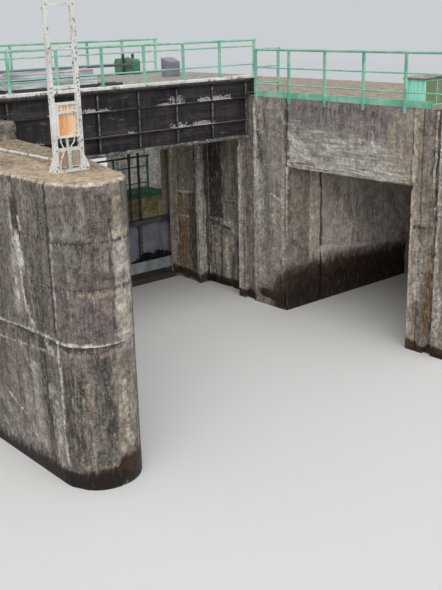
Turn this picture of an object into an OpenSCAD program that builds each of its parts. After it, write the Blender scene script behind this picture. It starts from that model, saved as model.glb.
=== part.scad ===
// River sluice: a concrete pier, an abutment with a side outlet, a footbridge
// between them and a steel lift gate running in slots upstream of the bridge.
// X runs along the bridge, +Y points upstream, Z is up. The origin is on the
// ground, in the middle of the whole plan.

/* [Plan] */
// Thickness of the pier under the bridge
pier_w = 2130; // [1900:10:2400]
// Clear width of the gated bay between pier and abutment
bay_w = 6400; // [5600:10:7200]
// Length of the abutment, from the bay's face to its back
abutment_l = 5050; // [4400:10:5700]
// Length of the abutment downstream of the bridge
down_l = 5900; // [5200:10:6600]
// Length of the abutment upstream of the bridge
up_l = 2300; // [2000:10:2600]
// Radius of the pier's downstream nose
nose_r = 650; // [560:10:740]

/* [Levels] */
// Height of the pier's nose above the ground
pier_h = 4800; // [4300:10:5400]
// Height of the block that lifts the bridge above the pier
block_h = 340; // [300:10:380]
// Height of the bridge's deck above the abutment's
deck_rise = 480; // [430:10:540]
// Height of the horizontal casting joint round the pier
lift_joint_h = 2350; // [1500:10:3200]

/* [Outlet] */
// Clear width of the side outlet in the abutment
outlet_w = 3600; // [3200:10:4000]
// Clear height of the side outlet
outlet_h = 3550; // [3100:10:3900]
// Thickness of the outlet's downstream wall
end_wall_t = 1000; // [800:10:1150]

/* [Gate] */
// Height of the gate leaf
leaf_h = 1450; // [1300:10:1600]
// Gap below the leaf as it stands in the photo
leaf_gap = 250; // [200:10:300]
// Underside of the breast beam behind the gate
breast_z = 1650; // [1500:10:1850]
// Width of the slot that guides the leaf's ends
slot_w = 350; // [310:5:390]
// Depth of the guide slots in pier and abutment
slot_d = 300; // [260:10:340]

/* [Bridge] */
// Width of the bridge across its girders
bridge_w = 4000; // [3600:10:4500]
// Depth of the girders below the deck slab
girder_h = 1370; // [1200:10:1540]
// Height of the bridge railings
bridge_rail_h = 830; // [740:10:1100]
// Spacing of the bridge railing's posts
bridge_post_gap = 1100; // [900:10:1300]

/* [Abutment railing] */
// Height of the railing along the abutment's edge
wall_rail_h = 1100; // [900:10:1240]
// Spacing of its posts
wall_post_gap = 1080; // [900:10:1500]

/* [Mast] */
// Height of the ladder mast on the pier's nose
mast_h = 3000; // [2700:10:3400]
// Width of the mast across its legs
mast_w = 520; // [460:10:580]

/* [Hidden] */

// Gap between faces of pieces that only rest on or face each other
gap = 0.3;
// Cutters reach this far past the faces they cut
over = 1;

// Levels
wall_h = pier_h + block_h;
deck_h = wall_h + deck_rise;

// Plan: outer faces of the concrete
site_len = pier_w + bay_w + abutment_l;
site_wid = down_l + bridge_w + up_l;
x_pier = -site_len / 2;
x_bay0 = x_pier + pier_w;
x_bay1 = x_bay0 + bay_w;
x_rear = site_len / 2;
bay_x = (x_bay0 + x_bay1) / 2;
y_down = -site_wid / 2;
y_bridge0 = y_down + down_l;
y_bridge1 = y_bridge0 + bridge_w;
y_up = y_bridge1 + up_l;

// Recess for boards and slot for the gate, the same on both sides of the bay
recess_off = 450;
recess_w = 1550;
recess_d = 350;
slot_off = 400;
y_recess0 = y_bridge0 + recess_off;
y_recess1 = y_recess0 + recess_w;
y_slot1 = y_bridge1 - slot_off;
y_slot0 = y_slot1 - slot_w;

// Colours, as the concrete, steel and paint look
c_conc = "#7d756b";
c_conc_dark = "#5e574e";
c_green = "#6fbd9f";
c_dark_green = "#2c6b46";
c_steel = "#2e2b30";
c_gate = "#4c5661";
c_white = "#d9d8d2";

// A block given by its two corners
module box(lo, hi) {
    translate(lo) cube(hi - lo);
}

// A length of the profile drawn across it: Y and Z for a length along X
module along_x(x0, x1) {
    translate([x0, 0, 0]) rotate([90, 0, 90]) linear_extrude(x1 - x0) children();
}

// The same along Y, its profile drawn in X and Z
module along_y(y0, y1) {
    translate([0, y1, 0]) rotate([90, 0, 0]) linear_extrude(y1 - y0) children();
}

// The same upright, its profile drawn in X and Y
module along_z(z0, z1) {
    translate([0, 0, z0]) linear_extrude(z1 - z0) children();
}

// Round bars along each axis
bar_fn = 16;
module bar_x(x0, x1, y, z, d) {
    along_x(x0, x1) translate([y, z]) circle(d = d, $fn = bar_fn);
}

module bar_y(y0, y1, x, z, d) {
    along_y(y0, y1) translate([x, z]) circle(d = d, $fn = bar_fn);
}

module bar_z(z0, z1, x, y, d) {
    along_z(z0, z1) translate([x, y]) circle(d = d, $fn = bar_fn);
}

// Rolled and cut sections, each from its lower left corner
function i_section(w, h, tf, tw) = [
    [0, 0], [w, 0], [w, tf], [(w + tw) / 2, tf], [(w + tw) / 2, h - tf], [w, h - tf],
    [w, h], [0, h], [0, h - tf], [(w - tw) / 2, h - tf], [(w - tw) / 2, tf], [0, tf]
];
function channel(w, h, t) = [[0, 0], [w, 0], [w, t], [t, t], [t, h - t], [w, h - t], [w, h], [0, h]];
function angle(w, h, t) = [[0, 0], [w, 0], [w, t], [t, t], [t, h], [0, h]];
function snipped(w, h, c) = [[c, 0], [w - c, 0], [w, c], [w, h - c], [w - c, h], [c, h], [0, h - c], [0, c]];

// PIER

nose_set = 320;
nose_x = x_pier + nose_r;
nose_y = y_down + nose_set + nose_r;
flare_y = y_bridge0 - 300;
// The bay side swells towards the bridge: distance before it, then set-back
flare = [[3050, 390], [1530, 180], [0, 0]];
tail_r = pier_w / 2;
tail_l = 1215;
joint_d = 22;
chamfer = 45;

// Outline of the downstream nose: round at the tip, wider towards the bridge
module nose_plan() {
    hull() {
        translate([nose_x, nose_y]) circle(r = nose_r, $fn = 48);
        polygon(concat(
            [for (p = flare) [x_bay0 - p[1], flare_y - p[0]]],
            [[x_bay0, y_recess0], [x_pier, y_recess0], [x_pier, flare_y]]
        ));
    }
}

// Outline of the upstream end: a half-round cutwater as wide as the pier
module tail_plan() {
    translate([x_pier, y_slot1]) square([pier_w, tail_l]);
    translate([x_pier + tail_r, y_slot1 + tail_l]) intersection() {
        circle(r = tail_r, $fn = 96);
        translate([-tail_r, 0]) square([pier_w, tail_r]);
    }
}

// The casting joint, a shallow groove round an outline
module lift_joint() {
    translate([0, 0, lift_joint_h - joint_d / 2]) linear_extrude(joint_d) difference() {
        offset(delta = over) children();
        offset(delta = -joint_d) children();
    }
}

// Cast length with its top edge struck off at 45 degrees
module cast_prism() {
    hull() {
        linear_extrude(pier_h - chamfer) children();
        linear_extrude(pier_h) offset(delta = -chamfer) children();
    }
}

module pier_nose() {
    color(c_conc) difference() {
        cast_prism() nose_plan();
        lift_joint() nose_plan();
    }
}

// Plain length of the pier between two stations, set back on the bay side
module pier_length(y0, y1, back) {
    along_y(y0, y1) difference() {
        translate([x_pier, 0]) square([pier_w - back, pier_h]);
        translate([x_pier - over, lift_joint_h - joint_d / 2]) square([joint_d + over, joint_d]);
        translate([x_pier, pier_h]) rotate(45) square(chamfer * sqrt(2), center = true);
    }
}

module pier_recess_back() {
    color(c_conc_dark) pier_length(y_recess0, y_recess1, recess_d);
}

module pier_pilaster() {
    color(c_conc) pier_length(y_recess1, y_slot0, 0);
}

module pier_slot_back() {
    color(c_conc_dark) pier_length(y_slot0, y_slot1, slot_d);
}

module pier_tail() {
    color(c_conc) difference() {
        cast_prism() tail_plan();
        lift_joint() tail_plan();
    }
}

// Raised block that carries the bridge on the pier
block_over = 300;
block_y0 = y_bridge0 - block_over;
block_y1 = y_bridge1 + block_over;
module pier_bearing_block() {
    color(c_conc) along_y(block_y0, block_y1) translate([x_pier, pier_h]) polygon([
        [0, 0], [pier_w, 0], [pier_w, block_h], [chamfer, block_h], [0, block_h - chamfer]
    ]);
}

// Bearing pads under the girders' ends, and stub walls under the deck's outer end
pad_l = 260;
pad_t = 30;
pad_in = 190;
stub_in = 300;
stub_l = 400;
module bearing_plinths() {
    color(c_conc_dark) {
        for (y = [y_bridge0 + girder_w / 2, y_bridge1 - girder_w / 2])
            for (x = [x_bay0 - pad_in, x_bay1 + pad_in])
                along_z(wall_h, wall_h + pad_t) translate([x - pad_l / 2, y - pad_l / 2])
                    polygon(snipped(pad_l, pad_l, pad_t));
        for (k = [0 : 3])
            translate([0, y_bridge0 + (bridge_w - stub_l) * k / 3, 0])
                along_z(wall_h, z_slab) translate([x_pier + stub_in - pad_l / 2, 0])
                    polygon(snipped(pad_l, stub_l, pad_t));
    }
}

// ABUTMENT

front_t = 800;
rear_t = 400;
roof_t = 450;
end_t = 500;
x_front1 = x_bay1 + front_t;
y_outlet0 = y_down + end_wall_t;
y_outlet1 = y_outlet0 + outlet_w;
y_column_edge = y_bridge0 - 130;
// Joints and slots left in the face towards the bay: half width, depth
cast_joint = [15, 30];
edge_slot = [160, 90];
board_slot = [110, 90];
arris = 20;

// Points of a rectangular groove in a face that runs along +Y
function groove(y, size) = [
    [0, y - size[0]], [size[1], y - size[0]], [size[1], y + size[0]], [0, y + size[0]]
];

// Wall between its face, points given as depth and station, and its straight back
module face_wall(face, z1) {
    along_z(0, z1) polygon(concat(
        [for (p = face) [x_bay1 + p[0], p[1]]],
        [[x_front1, face[len(face) - 1][1]], [x_front1, face[0][1]]]
    ));
}

// End of the wall between outlet and bay, a column set off by a groove beside the board recess
column_joint_off = 60;
module wall_column() {
    face = concat(
        [[arris, y_outlet1], [0, y_outlet1 + arris]],
        groove(y_outlet1 + column_joint_off, cast_joint),
        groove(y_column_edge + edge_slot[0], edge_slot),
        [[0, y_recess0 - arris], [arris, y_recess0]]
    );
    color(c_conc) face_wall(face, wall_h);
}

// Deep beam over the outlet, its lower edge worn to a bevel, with a drip groove behind
bevel = 50;
drip = [25, 15];
module outlet_lintel() {
    color(c_conc) along_y(y_outlet0, y_outlet1) difference() {
        translate([x_bay1, 0]) polygon([
            [0, outlet_h + bevel], [bevel, outlet_h], [front_t, outlet_h],
            [front_t, wall_h], [arris, wall_h], [0, wall_h - arris]
        ]);
        translate([x_bay1 + 3 * bevel, outlet_h - over]) square([drip[0], drip[1] + over]);
    }
}

side_joint_off = 380;
module outlet_side_wall() {
    color(c_conc) along_z(0, wall_h - roof_t) difference() {
        translate([x_front1, y_outlet1]) square([abutment_l - front_t - rear_t, front_t]);
        translate([x_front1 + side_joint_off, y_outlet1 - over])
            square([2 * cast_joint[0], cast_joint[1] + over]);
    }
}

// Wall downstream of the outlet, with a board slot and a joint in its face
wall_joint_off = 260;
board_slot_off = 560;
module downstream_wall() {
    face = concat(
        [[arris, y_down], [0, y_down + arris]],
        groove(y_outlet0 - board_slot_off, board_slot),
        groove(y_outlet0 - wall_joint_off, cast_joint),
        [[0, y_outlet0 - arris], [arris, y_outlet0]]
    );
    color(c_conc) {
        face_wall(face, wall_h);
        box([x_front1, y_down, 0], [x_rear - rear_t, y_outlet0, wall_h]);
    }
}

module rear_wall() {
    color(c_conc) along_y(y_down, y_up) translate([x_rear - rear_t, 0]) polygon([
        [0, 0], [rear_t, 0], [rear_t, wall_h - arris], [rear_t - arris, wall_h], [0, wall_h]
    ]);
}

module upstream_end_wall() {
    color(c_conc) box([x_front1, y_up - end_t, 0], [x_rear - rear_t, y_up, wall_h - roof_t]);
}

// Deck slab over the abutment, closing the outlet and the chamber behind the bay
module abutment_deck() {
    color(c_conc) box([x_front1, y_outlet0, wall_h - roof_t], [x_rear - rear_t, y_up, wall_h]);
}

module bay_recess_back() {
    color(c_conc_dark) face_wall([[recess_d, y_recess0], [recess_d, y_recess1]], wall_h);
}

// Ribs and the stained panel between the board recess and the gate slot
panel_ribs = [140, 270];
panel_d = 60;
module bay_pilaster() {
    panel_y0 = y_recess1 + panel_ribs[0];
    panel_y1 = y_slot0 - panel_ribs[1];
    face = [
        [arris, y_recess1], [0, y_recess1 + arris],
        [0, panel_y0], [panel_d, panel_y0], [panel_d, panel_y1], [0, panel_y1],
        [0, y_slot0 - arris], [arris, y_slot0]
    ];
    color(c_conc) face_wall(face, wall_h);
}

module bay_slot_back() {
    color(c_conc_dark) face_wall([[slot_d, y_slot0], [slot_d, y_slot1]], wall_h);
}

module bay_wall_upstream() {
    color(c_conc) face_wall([[0, y_slot1], [0, y_up - arris], [arris, y_up]], wall_h);
}

// GATE BAY

// Sill on the bed between the guide channels, its edges sloped for the flow
guide_lip = 20;
sill_h = 120;
sill_over = 200;
module gate_sill() {
    color(c_conc) along_x(x_bay0 + guide_lip, x_bay1 - guide_lip) polygon([
        [y_slot0 - sill_over, 0], [y_slot1 + sill_over, 0],
        [y_slot1 + sill_over - sill_h, sill_h], [y_slot0 - sill_over + sill_h, sill_h]
    ]);
}

// Steel channel lining each guide slot, its mouth towards the bay
guide_t = 12;
guide_drop = 1200;
module slot_guides() {
    section = channel(slot_d + guide_lip - 2 * gap, slot_w - 2 * gap, guide_t);
    color(c_steel) along_z(0, wall_h - guide_drop) {
        translate([x_bay0 - slot_d + gap, y_slot0 + gap]) polygon(section);
        translate([x_bay1 + slot_d - gap, y_slot0 + gap]) mirror([1, 0]) polygon(section);
    }
}

// BRIDGE

slab_t = 100;
slab_over = 20;
kerb = [120, 20];
girder_w = 300;
web_t = 30;
flange_t = 40;
foot_t = 60;
ledge_t = 25;
ledge_w = 240;
z_slab = deck_h - slab_t;
z_girder = z_slab - girder_h;
deck_end = 320;
x_deck1 = x_bay1 + deck_end;
deck_top = deck_h - kerb[1];
girder_clear = 20;
y_covers = y_slot0 - 50;

// Deck slab with a low kerb along its downstream edge
module bridge_deck() {
    y0 = y_bridge0 - slab_over;
    color(c_conc) along_x(x_pier, x_deck1) polygon([
        [y0, z_slab], [y_covers, z_slab], [y_covers, deck_top],
        [y0 + kerb[0], deck_top], [y0 + kerb[0] - kerb[1], deck_h], [y0, deck_h]
    ]);
}

// Girder rows: depth of each ledge below the deck, as a share of the girder's
ledges = [0.30, 0.69];
stiffener_t = 20;
stiffener_bays = 6;
snip = 25;

// Plated girder across Y: web, flanges and the ledges between its rows
module girder_section(z0) {
    translate([-web_t / 2, z0]) square([web_t, z_slab - z0]);
    translate([-girder_w / 2, z_slab - flange_t]) square([girder_w, flange_t]);
    translate([-girder_w / 2, z0]) square([girder_w, foot_t]);
    for (k = ledges) translate([-ledge_w / 2, z_slab - girder_h * k - ledge_t]) square([ledge_w, ledge_t]);
}

// The shallow ends that rest on pier and abutment
module end_section() {
    z0 = wall_h + pad_t;
    translate([-girder_w / 2, z0]) polygon(i_section(girder_w, z_slab - z0, flange_t, web_t));
}

// Whole girder, centred on y = 0, with web stiffeners in each row
module girder() {
    x0 = x_bay0 + girder_clear;
    x1 = x_bay1 - girder_clear;
    rows = concat([0], ledges, [1]);
    along_x(x0, x1) girder_section(z_girder);
    along_x(x_bay0 - pad_in - pad_l / 2, x0 + over) end_section();
    along_x(x1 - over, x_bay1 + pad_in + pad_l / 2) end_section();
    for (i = [0 : stiffener_bays]) {
        x = x0 + (x1 - x0 - stiffener_t) * i / stiffener_bays;
        for (r = [0 : 2]) {
            top = z_slab - girder_h * rows[r] - over;
            low = z_slab - girder_h * rows[r + 1] + (r == 2 ? over : -over);
            w = ledge_w - 2 * snip;
            along_x(x, x + stiffener_t) translate([-w / 2, low]) polygon(snipped(w, top - low, snip));
        }
    }
}

module downstream_girder() {
    color(c_steel) translate([0, y_bridge0 + girder_w / 2, 0]) girder();
}

module upstream_girder() {
    color(c_steel) translate([0, y_bridge1 - girder_w / 2, 0]) girder();
}

// Rolled beams across the bridge, clear of the lifting bars
beam_at = [0.08, 0.36, 0.64, 0.92];
beam_w = 120;
beam_h = 300;
beam_tf = 15;
beam_tw = 16;
module cross_beams() {
    section = i_section(beam_w, beam_h, beam_tf, beam_tw);
    color(c_steel) for (k = beam_at)
        along_y(y_bridge0 + girder_w + gap, y_bridge1 - girder_w - gap)
            translate([x_bay0 + bay_w * k - beam_w / 2, z_slab - beam_h]) polygon(section);
}

// Folded steel covers closing the deck over the gate, apart from the hoists' openings
stem_in = 1050;
stem_off = bay_w / 2 - stem_in;
stem_opening = 560;
cover_t = 12;
cover_h = 60;
module cover_plates() {
    y0 = y_covers + gap;
    y1 = y_bridge1 + slab_over;
    edges = [
        x_pier, bay_x - stem_off - stem_opening / 2, bay_x - stem_off + stem_opening / 2,
        bay_x + stem_off - stem_opening / 2, bay_x + stem_off + stem_opening / 2, x_deck1
    ];
    color(c_steel) for (i = [0 : 2 : 4]) difference() {
        box([edges[i], y0, z_slab], [edges[i + 1], y1, z_slab + cover_h]);
        box([edges[i] + cover_t, y0 + cover_t, z_slab - over],
            [edges[i + 1] - cover_t, y1 - cover_t, z_slab + cover_h - cover_t]);
    }
}

// RAILINGS

top_rail_d = 54;
rail_d = 32;
post_w = 50;
post_t = 8;
foot_w = 120;
foot_plate_t = 12;

// Post cut from rolled angle, standing on its base plate
module angle_post(x, y, z, h) {
    along_z(z, z + h) translate([x - post_w / 2, y - post_w / 2]) polygon(angle(post_w, post_w, post_t));
    along_z(z, z + foot_plate_t) translate([x - foot_w / 2, y - foot_w / 2])
        polygon(snipped(foot_w, foot_w, post_t));
}

// Straight railing along X: posts, a top rail and lower rails at shares of its height
module railing_x(x0, x1, post_gap, z, h, rails) {
    n = max(1, round((x1 - x0) / post_gap));
    in = foot_w / 2;
    for (i = [0 : n]) angle_post(x0 + in + (x1 - x0 - foot_w) * i / n, 0, z, h);
    bar_x(x0, x1, 0, z + h - top_rail_d / 2, top_rail_d);
    for (r = rails) bar_x(x0 + in, x1 - in, 0, z + h * r, rail_d);
}

bridge_rails = [0.30, 0.80];
rail_in = 20;
near_rail_off = 45;
far_rail_off = 45;
module downstream_railing() {
    color(c_green) translate([0, y_bridge0 + near_rail_off, 0])
        railing_x(x_pier + rail_in, x_deck1 - rail_in, bridge_post_gap, deck_h, bridge_rail_h, bridge_rails);
}

module upstream_railing() {
    drop = slab_t - cover_h;
    color(c_green) translate([0, y_bridge1 - far_rail_off, 0])
        railing_x(x_pier + rail_in, x_deck1 - rail_in, bridge_post_gap,
            deck_h - drop, bridge_rail_h + drop, bridge_rails);
}

// Railing along the abutment's edge: angle posts bolted to the face, a toe channel on top
wall_rails = [0.27, 0.61];
toe_h = 140;
toe_w = 65;
toe_set = 560;
wall_rail_in = 100;
post_drop = 120;
y_return = y_column_edge - 80;
module wall_railing() {
    y0 = y_down + wall_rail_in;
    y1 = y_return - foot_w / 2 - gap;
    n = max(1, round((y1 - y0) / wall_post_gap));
    xp = x_bay1 - gap - post_w;
    color(c_green) {
        for (i = [0 : n])
            along_z(wall_h - post_drop, wall_h + wall_rail_h)
                translate([xp, y0 + (y1 - y0 - post_w) * i / n]) polygon(angle(post_w, post_w, post_t));
        bar_y(y0, y1, xp + post_w / 2, wall_h + wall_rail_h - top_rail_d / 2, top_rail_d);
        for (r = wall_rails) bar_y(y0, y1, xp + post_w / 2, wall_h + wall_rail_h * r, rail_d);
        along_y(y_down + toe_set, y1) translate([xp + post_w - post_t, wall_h + gap])
            polygon(channel(toe_w, toe_h, post_t));
    }
}

// Short railing from the abutment's edge back to the bridge's end
return_l = 860;
module return_railing() {
    color(c_green) translate([0, y_return, 0])
        railing_x(x_bay1 + gap, x_bay1 + return_l, return_l, wall_h, wall_rail_h, wall_rails);
}

// Two steps from the abutment's deck up to the bridge
step_t = 280;
step_w = 1400;
step_off = 900;
module bridge_steps() {
    rise = deck_rise / 3;
    color(c_conc) along_y(y_bridge0 + step_off, y_bridge0 + step_off + step_w)
        translate([x_deck1 + gap, wall_h]) polygon([
            [0, 0], [2 * step_t, 0], [2 * step_t, rise], [step_t, rise], [step_t, 2 * rise], [0, 2 * rise]
        ]);
}

// DECK FITTINGS

cab_in = [350, 1020];
cab_l = 480;
cab_w = 800;
cab_h = 520;
cab_t = 20;
door_t = 8;
door_in = 25;
cab_x0 = x_bay1 + cab_in[0];
cab_y0 = y_down + cab_in[1];

// Sheet-metal housing, open underneath, with two door leaves towards the river
module cabinet() {
    door_w = (cab_w - 3 * door_in) / 2;
    color(c_green) {
        difference() {
            box([cab_x0, cab_y0, wall_h], [cab_x0 + cab_w, cab_y0 + cab_l, wall_h + cab_h]);
            box([cab_x0 + cab_t, cab_y0 + cab_t, wall_h - over],
                [cab_x0 + cab_w - cab_t, cab_y0 + cab_l - cab_t, wall_h + cab_h - cab_t]);
        }
        for (i = [0 : 1]) {
            x = cab_x0 + door_in + i * (door_w + door_in);
            box([x, cab_y0 - door_t, wall_h + door_in],
                [x + door_w, cab_y0 + over, wall_h + cab_h - door_in]);
        }
    }
}

// Cast roof slab, falling to both sides
roof_over = 45;
roof_h = 35;
roof_fall = 25;
module cabinet_roof() {
    w = cab_w + 2 * roof_over;
    color(c_conc) along_y(cab_y0 - roof_over, cab_y0 + cab_l + roof_over)
        translate([cab_x0 - roof_over, wall_h + cab_h])
            polygon([[0, 0], [w, 0], [w, roof_h], [w / 2, roof_h + roof_fall], [0, roof_h]]);
}

// Spare boards for the recesses, stacked on two longer runners beside the railing
log_l = 2150;
log_w = 340;
log_h = 160;
log_in = 2200;
log_off = 130;
log_shift = [90, 50];
log_snip = 18;
log_tongue = [60, 22];
runner_l = 2800;
runner_w = 100;
runner_h = 80;
module stored_stop_logs() {
    x0 = x_pier + log_in;
    y0 = y_bridge0 + log_off;
    mid = log_w / 2;
    color("#8d939b") {
        for (y = [y0, y0 + log_w - runner_w])
            box([x0, y, deck_top], [x0 + runner_l, y + runner_w, deck_top + runner_h]);
        for (i = [0 : 1])
            translate([0, y0 + log_shift[1] * i, deck_top + runner_h + log_h * i])
                along_x(x0 + log_shift[0] * i, x0 + log_l - log_shift[1] * i) union() {
                    polygon(snipped(log_w, log_h, log_snip));
                    if (i == 1) translate([mid - log_tongue[0] / 2, log_h - over])
                        square([log_tongue[0], log_tongue[1] + over]);
                }
    }
}

// Switch box with a sloped lid, on the deck near the hoist
box_w = 350;
box_d = 300;
box_h = 450;
box_fall = 90;
box_in = [1620, 1400];
module control_box() {
    color("#7c7a86") along_x(x_deck1 - box_in[0], x_deck1 - box_in[0] + box_w)
        translate([y_bridge0 + box_in[1], deck_top])
            polygon([[0, 0], [box_d, 0], [box_d, box_h], [0, box_h - box_fall]]);
}

// MAST

mast_in = [810, 570];
mast_x = x_pier + mast_in[0];
mast_y = nose_y + mast_in[1];
leg_w = 70;
leg_d = 60;
leg_t = 6;
rung_h = 50;
rung_d = 40;
// Heights of the rungs above the pier, from the lowest to the last below the top
rung_zs = [300, 1150, 1215, 1770, 2380];
base_plate = [600, 220, 15];
shield = [60, 230, 10];
gusset = [110, 240, 10];

// Leg of square tube
module mast_leg(x) {
    along_z(pier_h, pier_h + mast_h) difference() {
        translate([x, mast_y - leg_d / 2]) square([leg_w, leg_d]);
        translate([x + leg_t, mast_y - leg_d / 2 + leg_t]) square([leg_w - 2 * leg_t, leg_d - 2 * leg_t]);
    }
}

module mast_frame() {
    x0 = mast_x - mast_w / 2;
    x1 = mast_x + mast_w / 2;
    inner = mast_w - 2 * leg_w;
    color(c_white) {
        translate([mast_x - base_plate[0] / 2, mast_y - base_plate[1] / 2, pier_h])
            linear_extrude(base_plate[2]) polygon(snipped(base_plate[0], base_plate[1], leg_d / 2));
        mast_leg(x0);
        mast_leg(x1 - leg_w);
        for (z = concat(rung_zs, [mast_h - rung_h]))
            along_x(x0 + leg_w - leg_t, x1 - leg_w + leg_t)
                translate([mast_y - rung_d / 2, pier_h + z]) square([rung_d, rung_h]);
        // Plate between the feet, and a splayed gusset outside each leg
        along_y(mast_y - shield[2] / 2, mast_y + shield[2] / 2)
            translate([x0 + leg_w - over, pier_h + shield[0]]) square([inner + 2 * over, shield[1]]);
        for (s = [-1, 1]) along_y(mast_y - gusset[2] / 2, mast_y + gusset[2] / 2)
            translate([mast_x + s * (mast_w / 2 - over), pier_h + base_plate[2] - over])
                polygon([[0, 0], [s * gusset[0], 0], [0, gusset[1]]]);
    }
}

// Shallow tray between the legs, its panel set back behind a rim and a bar
panel_z = [500, 1020];
tray_d = 120;
tray_rim = 35;
tray_back = 40;
tray_bar = 860;
module mast_panel_box() {
    w = mast_w - 2 * leg_w - 2 * gap;
    x0 = mast_x - w / 2;
    color("#c8763c") difference() {
        box([x0, mast_y - tray_d / 2, pier_h + panel_z[0]], [x0 + w, mast_y + tray_d / 2, pier_h + panel_z[1]]);
        for (z = [[panel_z[0] + tray_rim, tray_bar], [tray_bar + tray_rim, panel_z[1] - tray_rim]])
            box([x0 + tray_rim, mast_y - tray_d / 2 - over, pier_h + z[0]],
                [x0 + w - tray_rim, mast_y - tray_d / 2 + tray_back, pier_h + z[1]]);
    }
}

// White conduit along the pier's top, from the mast up the side of the bearing block
conduit_off = 300;
conduit_d = 50;
conduit_gap = 200;
conduit_up = 200;
module conduit() {
    x = mast_x + conduit_off;
    y = block_y0 - conduit_d / 2 - gap;
    z = pier_h + conduit_d / 2;
    color(c_white) {
        bar_y(mast_y + conduit_gap, y, x, z, conduit_d);
        bar_z(pier_h, wall_h + conduit_up, x, y, conduit_d);
    }
}

// LOW WALKWAY BEHIND THE GATE

breast_h = 600;
breast_w = 650;
breast_off = 50;
breast_edge = 80;
y_breast0 = y_slot1 + breast_off;
// Beam behind the leaf, its lower edge stepped for the steel seal strip
module breast_beam() {
    color("#55502f") along_x(x_bay0 + gap, x_bay1 - gap) translate([y_breast0, breast_z]) polygon([
        [arris, breast_edge], [arris, 0], [breast_w, 0], [breast_w, breast_h],
        [arris, breast_h], [0, breast_h - arris], [0, breast_edge]
    ]);
}

walk_h = 160;
walk_w = 70;
walk_t = 10;
grate_t = 30;
// Two channels with a grating between them, laid along the breast beam
module walkway_beam() {
    z = breast_z + breast_h + gap;
    color(c_dark_green) along_x(x_bay0 + gap, x_bay1 - gap) {
        translate([y_breast0 - walk_w / 2, z]) polygon(channel(walk_w, walk_h, walk_t));
        translate([y_breast0 + breast_w, z]) mirror([1, 0]) polygon(channel(walk_w, walk_h, walk_t));
        translate([y_breast0 + walk_t - walk_w / 2 - over, z + walk_h - walk_t - grate_t])
            square([breast_w + walk_w / 2 - 2 * walk_t + 2 * over, grate_t]);
    }
}

walk_rail_in = 350;
walk_rail_gap = 1150;
walk_rail_h = 1000;
module walkway_railing() {
    z = breast_z + breast_h + walk_h + gap;
    color(c_dark_green) translate([0, y_breast0 + walk_w / 2, 0])
        railing_x(x_bay0 + walk_rail_in, x_bay1 - walk_rail_in, walk_rail_gap, z, walk_rail_h, [0.25, 0.7]);
}

// HOISTS

case_h = 380;
case_snip = 60;
stem_pair = 300;
bar_t = 40;
bar_w = 70;
bar_snip = 6;
stem_over = 480;
y_stem = (y_slot0 + y_slot1) / 2;
case_w = stem_pair - bar_w - 2 * gap;
case_y0 = y_slot0 - 200;
case_y1 = y_bridge1 - far_rail_off - foot_w / 2 - 5 * gap;
case_leg = 160;
boss_d = 150;
shaft_d = 60;
shaft_at = [110, 250];

// Gear case between its two lifting bars, bridging the open strip in the deck
module hoist(x) {
    l = case_y1 - case_y0;
    foot = z_slab - deck_top;
    color(c_green) along_x(x - case_w / 2, x + case_w / 2) translate([case_y0, deck_top]) polygon([
        [0, 0], [l - case_leg, 0], [l - case_leg, foot], [l, foot],
        [l, case_h - case_snip], [l - case_snip, case_h], [case_snip, case_h], [0, case_h - case_snip]
    ]);
}

module hoist_near_pier() hoist(bay_x - stem_off);
module hoist_near_wall() hoist(bay_x + stem_off);

// Shaft that turns both gear cases together, with a coupling at each
module hoist_shaft() {
    half = stem_off - case_w / 2 - gap;
    color(c_steel) translate([bay_x, case_y0 + shaft_at[0], deck_top + shaft_at[1]]) {
        bar_x(-half, half, 0, 0, shaft_d);
        bar_x(-half, shaft_d - half, 0, 0, boss_d);
        bar_x(half - shaft_d, half, 0, 0, boss_d);
    }
}

// GATE LEAF

leaf_clear = [40, 45];
leaf_x0 = x_bay0 - slot_d + leaf_clear[0];
leaf_x1 = x_bay1 + slot_d - leaf_clear[0];
leaf_y0 = y_slot0 + leaf_clear[1];
leaf_y1 = y_slot1 - leaf_clear[1];
skin_t = 15;

module gate_skin() {
    color(c_gate) box([leaf_x0, leaf_y1 - skin_t, leaf_gap], [leaf_x1, leaf_y1, leaf_gap + leaf_h]);
}

// Upright tee ribs on the skin
rib_t = 14;
rib_d = 120;
rib_w = 90;
rib_count = 6;
girder_b = 300;
girder_t = 130;
module gate_ribs() {
    y1 = leaf_y1 - skin_t;
    color(c_gate) along_z(leaf_gap + girder_b, leaf_gap + leaf_h - girder_t)
        for (i = [0 : rib_count - 1]) {
            x = x_bay0 + bay_w * (i + 1) / (rib_count + 1);
            translate([x - rib_t / 2, y1 - rib_d]) square([rib_t, rib_d]);
            translate([x - rib_w / 2, y1 - rib_d]) square([rib_w, rib_t]);
        }
}

// Bottom girder, top girder and end posts, channels welded into one frame
plate_t = 14;
end_post_t = 40;
top_in = 60;
module gate_frame() {
    y1 = leaf_y1 - skin_t;
    z1 = leaf_gap + leaf_h;
    color(c_gate) {
        along_x(leaf_x0, leaf_x1) {
            translate([leaf_y0, leaf_gap]) polygon(channel(y1 - leaf_y0, girder_b, plate_t));
            translate([leaf_y0 + top_in, z1 - girder_t])
                polygon(channel(y1 - leaf_y0 - top_in, girder_t, plate_t));
        }
        for (x = [leaf_x0, leaf_x1 - end_post_t])
            box([x, leaf_y0, leaf_gap], [x + end_post_t, y1, z1]);
    }
}

// Pair of lifting bars standing on the top girder and running up past a gear case
module stem(x) {
    color(c_steel) along_z(leaf_gap + leaf_h, deck_h + stem_over) for (s = [-1, 1])
        translate([x + s * stem_pair / 2 - bar_w / 2, y_stem - bar_t / 2])
            polygon(snipped(bar_w, bar_t, bar_snip));
}

module stem_near_pier() stem(bay_x - stem_off);
module stem_near_wall() stem(bay_x + stem_off);

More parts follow.
